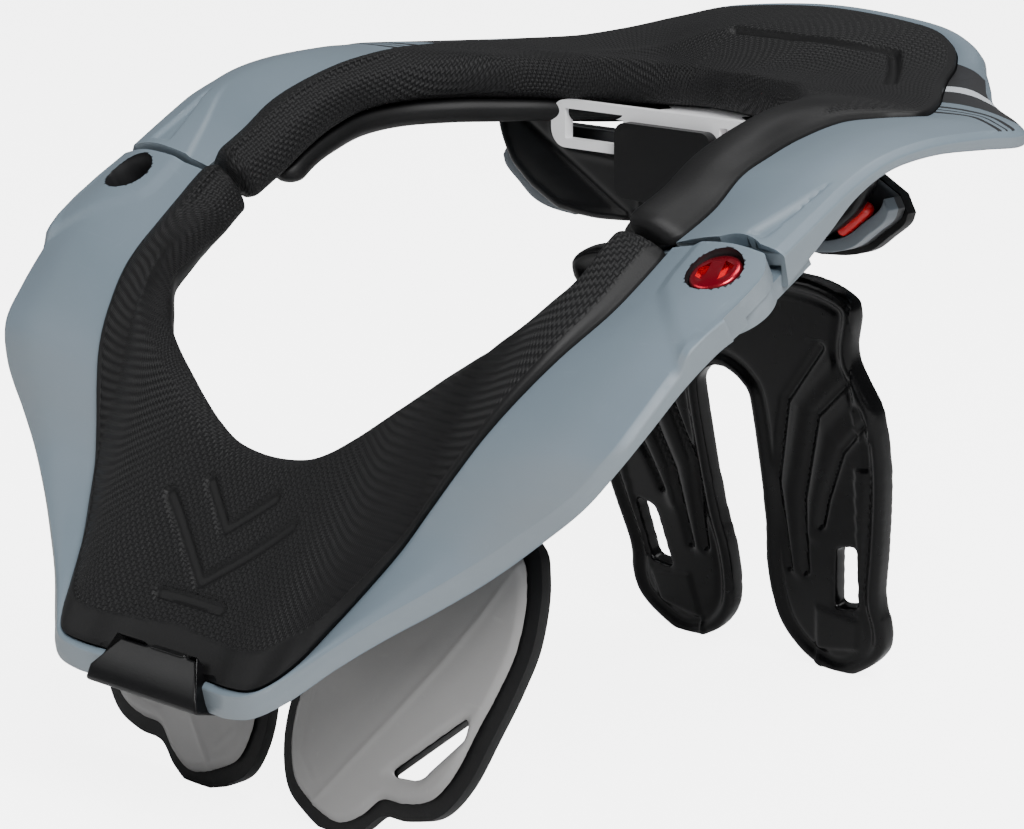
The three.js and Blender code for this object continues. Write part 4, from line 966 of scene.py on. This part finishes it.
# Back wing: a black moulded strut with two legs joined at the top, hung on a cross pin below the tail.
WING_HALF = 61.5
WING_HEIGHT = 138
WING_OUTLINE = [
    (0.00, 0.98), (0.49, 0.98), (0.75, 0.97), (0.91, 0.94), (0.935, 0.90), (0.88, 0.81), (0.93, 0.74), (0.99, 0.68),
    (1.00, 0.58), (0.975, 0.48), (0.91, 0.335), (0.845, 0.21), (0.86, 0.145), (0.845, 0.09), (0.78, 0.05),
    (0.67, 0.015), (0.57, -0.005), (0.455, -0.005), (0.29, 0.03), (0.17, 0.095), (0.13, 0.175), (0.13, 0.26),
    (0.165, 0.38), (0.18, 0.64), (0.14, 0.695), (0.06, 0.72), (0.00, 0.725),
]
half = [(x * WING_HALF, z * WING_HEIGHT) for x, z in WING_OUTLINE]
wing_line = closed_curve(half + [(-x, z) for x, z in half[-2:0:-1]], 4)
WING_SLOT = [(34.2, 23.2), (43.2, 24.8), (46.4, 46.4), (38.0, 44.6)]
WING_GROOVES = [
    [(42.9, 113), (25.9, 93.1), (17.2, 64.3), (17.6, 34)], [(50.5, 102), (37.3, 90), (27.0, 60), (24.0, 34)],
    [(56.2, 90), (45.4, 79.1), (37.0, 62), (33.2, 52)],
]
WING_RIDGES = [[(48, 108), (32, 92), (22, 62), (20.4, 34)], [(54, 97), (41, 85), (32, 60), (29, 48)]]
FOOT_BOSS = [(26.8, 22.6), (24.3, 7.0), (41.2, 10.1), (43.6, 20.5)]
wing_holes = [rounded_line([(side * x, z) for x, z in WING_SLOT], 1.2) for side in (1, -1)]


def wing_height(at):
    """Nested ribs that bend at the knee, a rolled rim, and a raised field at each foot."""
    at = np.abs(at * [1, 1])
    height = np.zeros(len(at))
    for line in WING_GROOVES:
        height -= 1.7 * np.exp(-(line_distance(at, line) / 1.3) ** 2)
    for line in WING_RIDGES:
        height += 0.7 * np.exp(-(line_distance(at, line) / 2.4) ** 2)
    rim = np.abs(line_distance(at, [(abs(x), z) for x, z in wing_line if x > 0]))
    height += 1.0 * np.exp(-((rim - 2.2) / 1.5) ** 2) - 0.6 * np.exp(-((rim - 5.6) / 1.2) ** 2)
    boss = line_distance(at, [*FOOT_BOSS, FOOT_BOSS[0]])
    return height + 0.7 * np.clip(boss + 0.5, 0, 1)


wing_lean = math.radians(13.2)
wing_place = (0, 131 + math.tan(wing_lean) * 0.95 * WING_HEIGHT, 0)
wing_body = relief_plate("strut", plate(wing_line, -3, 3, wing_holes, 1.2), wing_height, 0.75)
wing = piece("back_wing_black", leaned(wing_body, wing_lean, wing_place), 180)
FOLD_BACK = 0.601 * 193 + 18
FOLD_HEIGHT = 0.7004 * 205.6
KNUCKLE_HALF = 15
neck = bmesh.new()
side_face = [(-4, 0), (4, 0), (2.5, -16), (-7, -16)]
neck.faces.new([neck.verts.new(row_frame((-KNUCKLE_HALF, FOLD_BACK + y, FOLD_HEIGHT + z))) for y, z in side_face])
wide = bmesh.ops.extrude_face_region(neck, geom=neck.faces[:])
wide = [v for v in wide["geom"] if isinstance(v, bmesh.types.BMVert)]
bmesh.ops.translate(neck, verts=wide, vec=(2 * KNUCKLE_HALF, 0, 0))
bmesh.ops.recalc_face_normals(neck, faces=neck.faces)
join_or_cut(wing, neck, "UNION")
across_fold = Matrix.Translation(row_frame((0, FOLD_BACK, FOLD_HEIGHT))) @ Matrix.Rotation(math.pi / 2, 4, "Y")
for radius, half_length, operation in ((5, KNUCKLE_HALF, "UNION"), (2.3, 40, "DIFFERENCE")):
    knuckle = bmesh.new()
    bmesh.ops.create_cone(knuckle, cap_ends=True, segments=48, radius1=radius, radius2=radius, depth=2 * half_length,
                          matrix=across_fold)
    join_or_cut(wing, knuckle, operation)
wing_black = moulded("wing_black", (0.0015, 0.0015, 0.0018), 0.24, worn=(0.01, 0.01, 0.01), specular=0.22)
dress(wing, wing_black, "wing", ["back_wing"])


# Guards, shoulder plates, their padding and the red release bars behind the collar, on each side.
GUARD_OUTLINE = [
    (0.18, 0.62), (0.18, 0.04), (0.43, 0), (0.64, 0.04), (0.80, 0.22), (0.91, 0.42), (0.97, 0.65), (1, 0.83),
    (0.95, 1), (0.67, 1), (0.67, 0.78), (0.60, 0.66),
]
SHOULDER_OUTLINE = [
    (0.38, 1), (0.38, 0), (0.59, 0), (0.73, 0.04), (0.83, 0.13), (0.91, 0.30), (0.98, 0.46), (1, 0.59),
    (0.97, 0.72), (0.79, 1),
]
CUP_FOLD = [(10, 138.5), (18.1, 143.2), (37, 154), (55.9, 164.8), (70, 173)]


def cup_height(at):
    """A cup: the outer half of the guard swells forward of a crease that runs across it."""
    fold = line_distance(at, CUP_FOLD)
    edge = np.abs(line_distance(at, [(x * 77, 141.5 + z * 34) for x, z in [*GUARD_OUTLINE, GUARD_OUTLINE[0]]]))
    return 1.9 * np.sin(np.clip(-fold / 14, 0, 1) * math.pi / 2) + 0.5 * np.exp(-((edge - 1.8) / 1.1) ** 2) \
        - 0.5 * np.exp(-(fold / 0.9) ** 2)


def tray_grey(name, base, rim, front):
    """Dark moulded plastic whose rolled front rim carries a painted highlight: the colour changes to a pale grey at one
    depth of the tray.
    """
    material = moulded(name, base, 0.4)
    tree = material.node_tree
    shader = tree.nodes["Principled BSDF"]
    depth = node(tree, "SeparateXYZ", {0: node(tree, "TexCoord").outputs["Object"]}).outputs["Y"]
    # Painted highlight: the part of the tray forward of the given depth takes the pale colour.
    painted_highlight = math_node(tree, "LESS_THAN", depth, front)
    inner = shader.inputs["Base Color"].links[0].from_socket
    tree.links.new(mix(tree, painted_highlight, inner, rim), shader.inputs["Base Color"])
    return material


# The pale (0.15, 0.175, 0.2) is a painted highlight on the shoulder trays' rolled front rims.
dark_grey = tray_grey("dark_grey", (0.03, 0.032, 0.035), (0.15, 0.175, 0.2), (124.2 - PIN_LINE_BACK) / 1000)
red_plastic = moulded("red_plastic", (0.62, 0.012, 0.015), 0.26)
for name, side in (("left", 1), ("right", -1)):
    line = rounded_line([(x * 77, 141.5 + z * 34) for x, z in GUARD_OUTLINE], 4)
    cup = relief_plate("cup", plate(line, 116.3, 119.3, edge=0.8), cup_height, 0.8)
    guard = piece(f"neck_guard_cup_{name}", leaned(cup, 0, (0, 0, 0), side), 180)
    dress(guard, black_plastic, "rear_half", [f"neck_guard_{name}"])
    line = [(x * 78.5, 141 + z * 27) for x, z in SHOULDER_OUTLINE]
    tray = plate([(x - 0.1, z) for x, z in line], 124.6, 127.6, edge=0.5)
    edge = [tuple(point) for point in curve_through(np.array(line[2:8]), 6)]
    rim_line = edge + [(x - 2, z + 3.4) for x, z in edge[::-1]]
    shoulder = piece(f"shoulder_tray_{name}", leaned(tray, 0, (0, 0, 0), side))
    join_or_cut(shoulder, leaned(plate(rim_line, 119.6, 127.6, edge=0.6), 0, (0, 0, 0), side), "UNION")
    dress(shoulder, dark_grey, "rear_half", [f"shoulder_plate_{name}"])
    line = line[:2] + [(x + 0.6, z - 1.8) for x, z in edge] + line[8:]
    shoulder_foam = piece(f"shoulder_pad_{name}", leaned(plate(line, 127.9, 131.9, edge=1.2), 0, (0, 0, 0), side))
    dress(shoulder_foam, rim_foam, "rear_half", [f"shoulder_foam_{name}"])
    bar = bmesh.new()
    bmesh.ops.create_uvsphere(bar, u_segments=32, v_segments=20, radius=2.4)
    for v in bar.verts:
        v.co.z += math.copysign(5, v.co.z) if abs(v.co.z) > 1e-6 else 0
        v.co = Matrix.Rotation(math.radians(50), 3, "Y") @ v.co + Vector((65.3, 121.0, 152.8))
        v.co = row_frame((v.co.x * side, v.co.y, v.co.z))
    bmesh.ops.recalc_face_normals(bar, faces=bar.faces)
    release = piece(f"release_bar_red_{name}", bar, 60)
    dress(release, red_plastic, "rear_half", [f"release_bar_{name}"])


# Frame under the tail, its block, its pin and the hidden arms: plain moulded and machined parts with eased edges.
white_plastic = moulded("white_plastic", (0.9, 0.9, 0.92), 0.35)
rubber = moulded("black_rubber", (0.003, 0.003, 0.0035), 0.42, worn=(0.012, 0.012, 0.012), specular=0.25)
steel = moulded("pin_steel", (0.32, 0.32, 0.33), 0.3, metallic=1.0)
carried = {
    "rear_frame": white_plastic, "neck_block": rubber, "frame_pin": red_anodised, "rear_arm": black_plastic,
    "wing_pin": steel, "chest_arm_left": black_plastic, "chest_arm_right": black_plastic,
}
for name, finish in carried.items():
    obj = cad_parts[name]
    obj.data.materials.clear()
    obj.data.materials.append(finish)
    obj.modifiers.new("weld", "WELD").merge_threshold = 1e-5
    eased_edges = obj.modifiers.new("eased_edges", "BEVEL")
    eased_edges.width, eased_edges.segments, eased_edges.limit_method = 0.0006, 3, "ANGLE"
    if name == "neck_block":
        eased_edges.width, eased_edges.segments = 0.0038, 6


# Floor: pale and plain, under everything.
floor_mesh = bmesh.new()
bmesh.ops.create_grid(floor_mesh, x_segments=1, y_segments=1, size=20000)
floor = piece("floor", floor_mesh)
floor_paint = moulded("floor_paint", (0.9, 0.9, 0.9), 0.8, size=300.0, specular=0.1)
glow = floor_paint.node_tree.nodes["Principled BSDF"]
glow.inputs["Emission Color"].default_value = (1, 1, 1, 1)
seen = node(floor_paint.node_tree, "LightPath").outputs["Is Camera Ray"]
bright = math_node(floor_paint.node_tree, "MULTIPLY", seen, 5.0)
floor_paint.node_tree.links.new(bright, glow.inputs["Emission Strength"])
dress(floor, floor_paint)
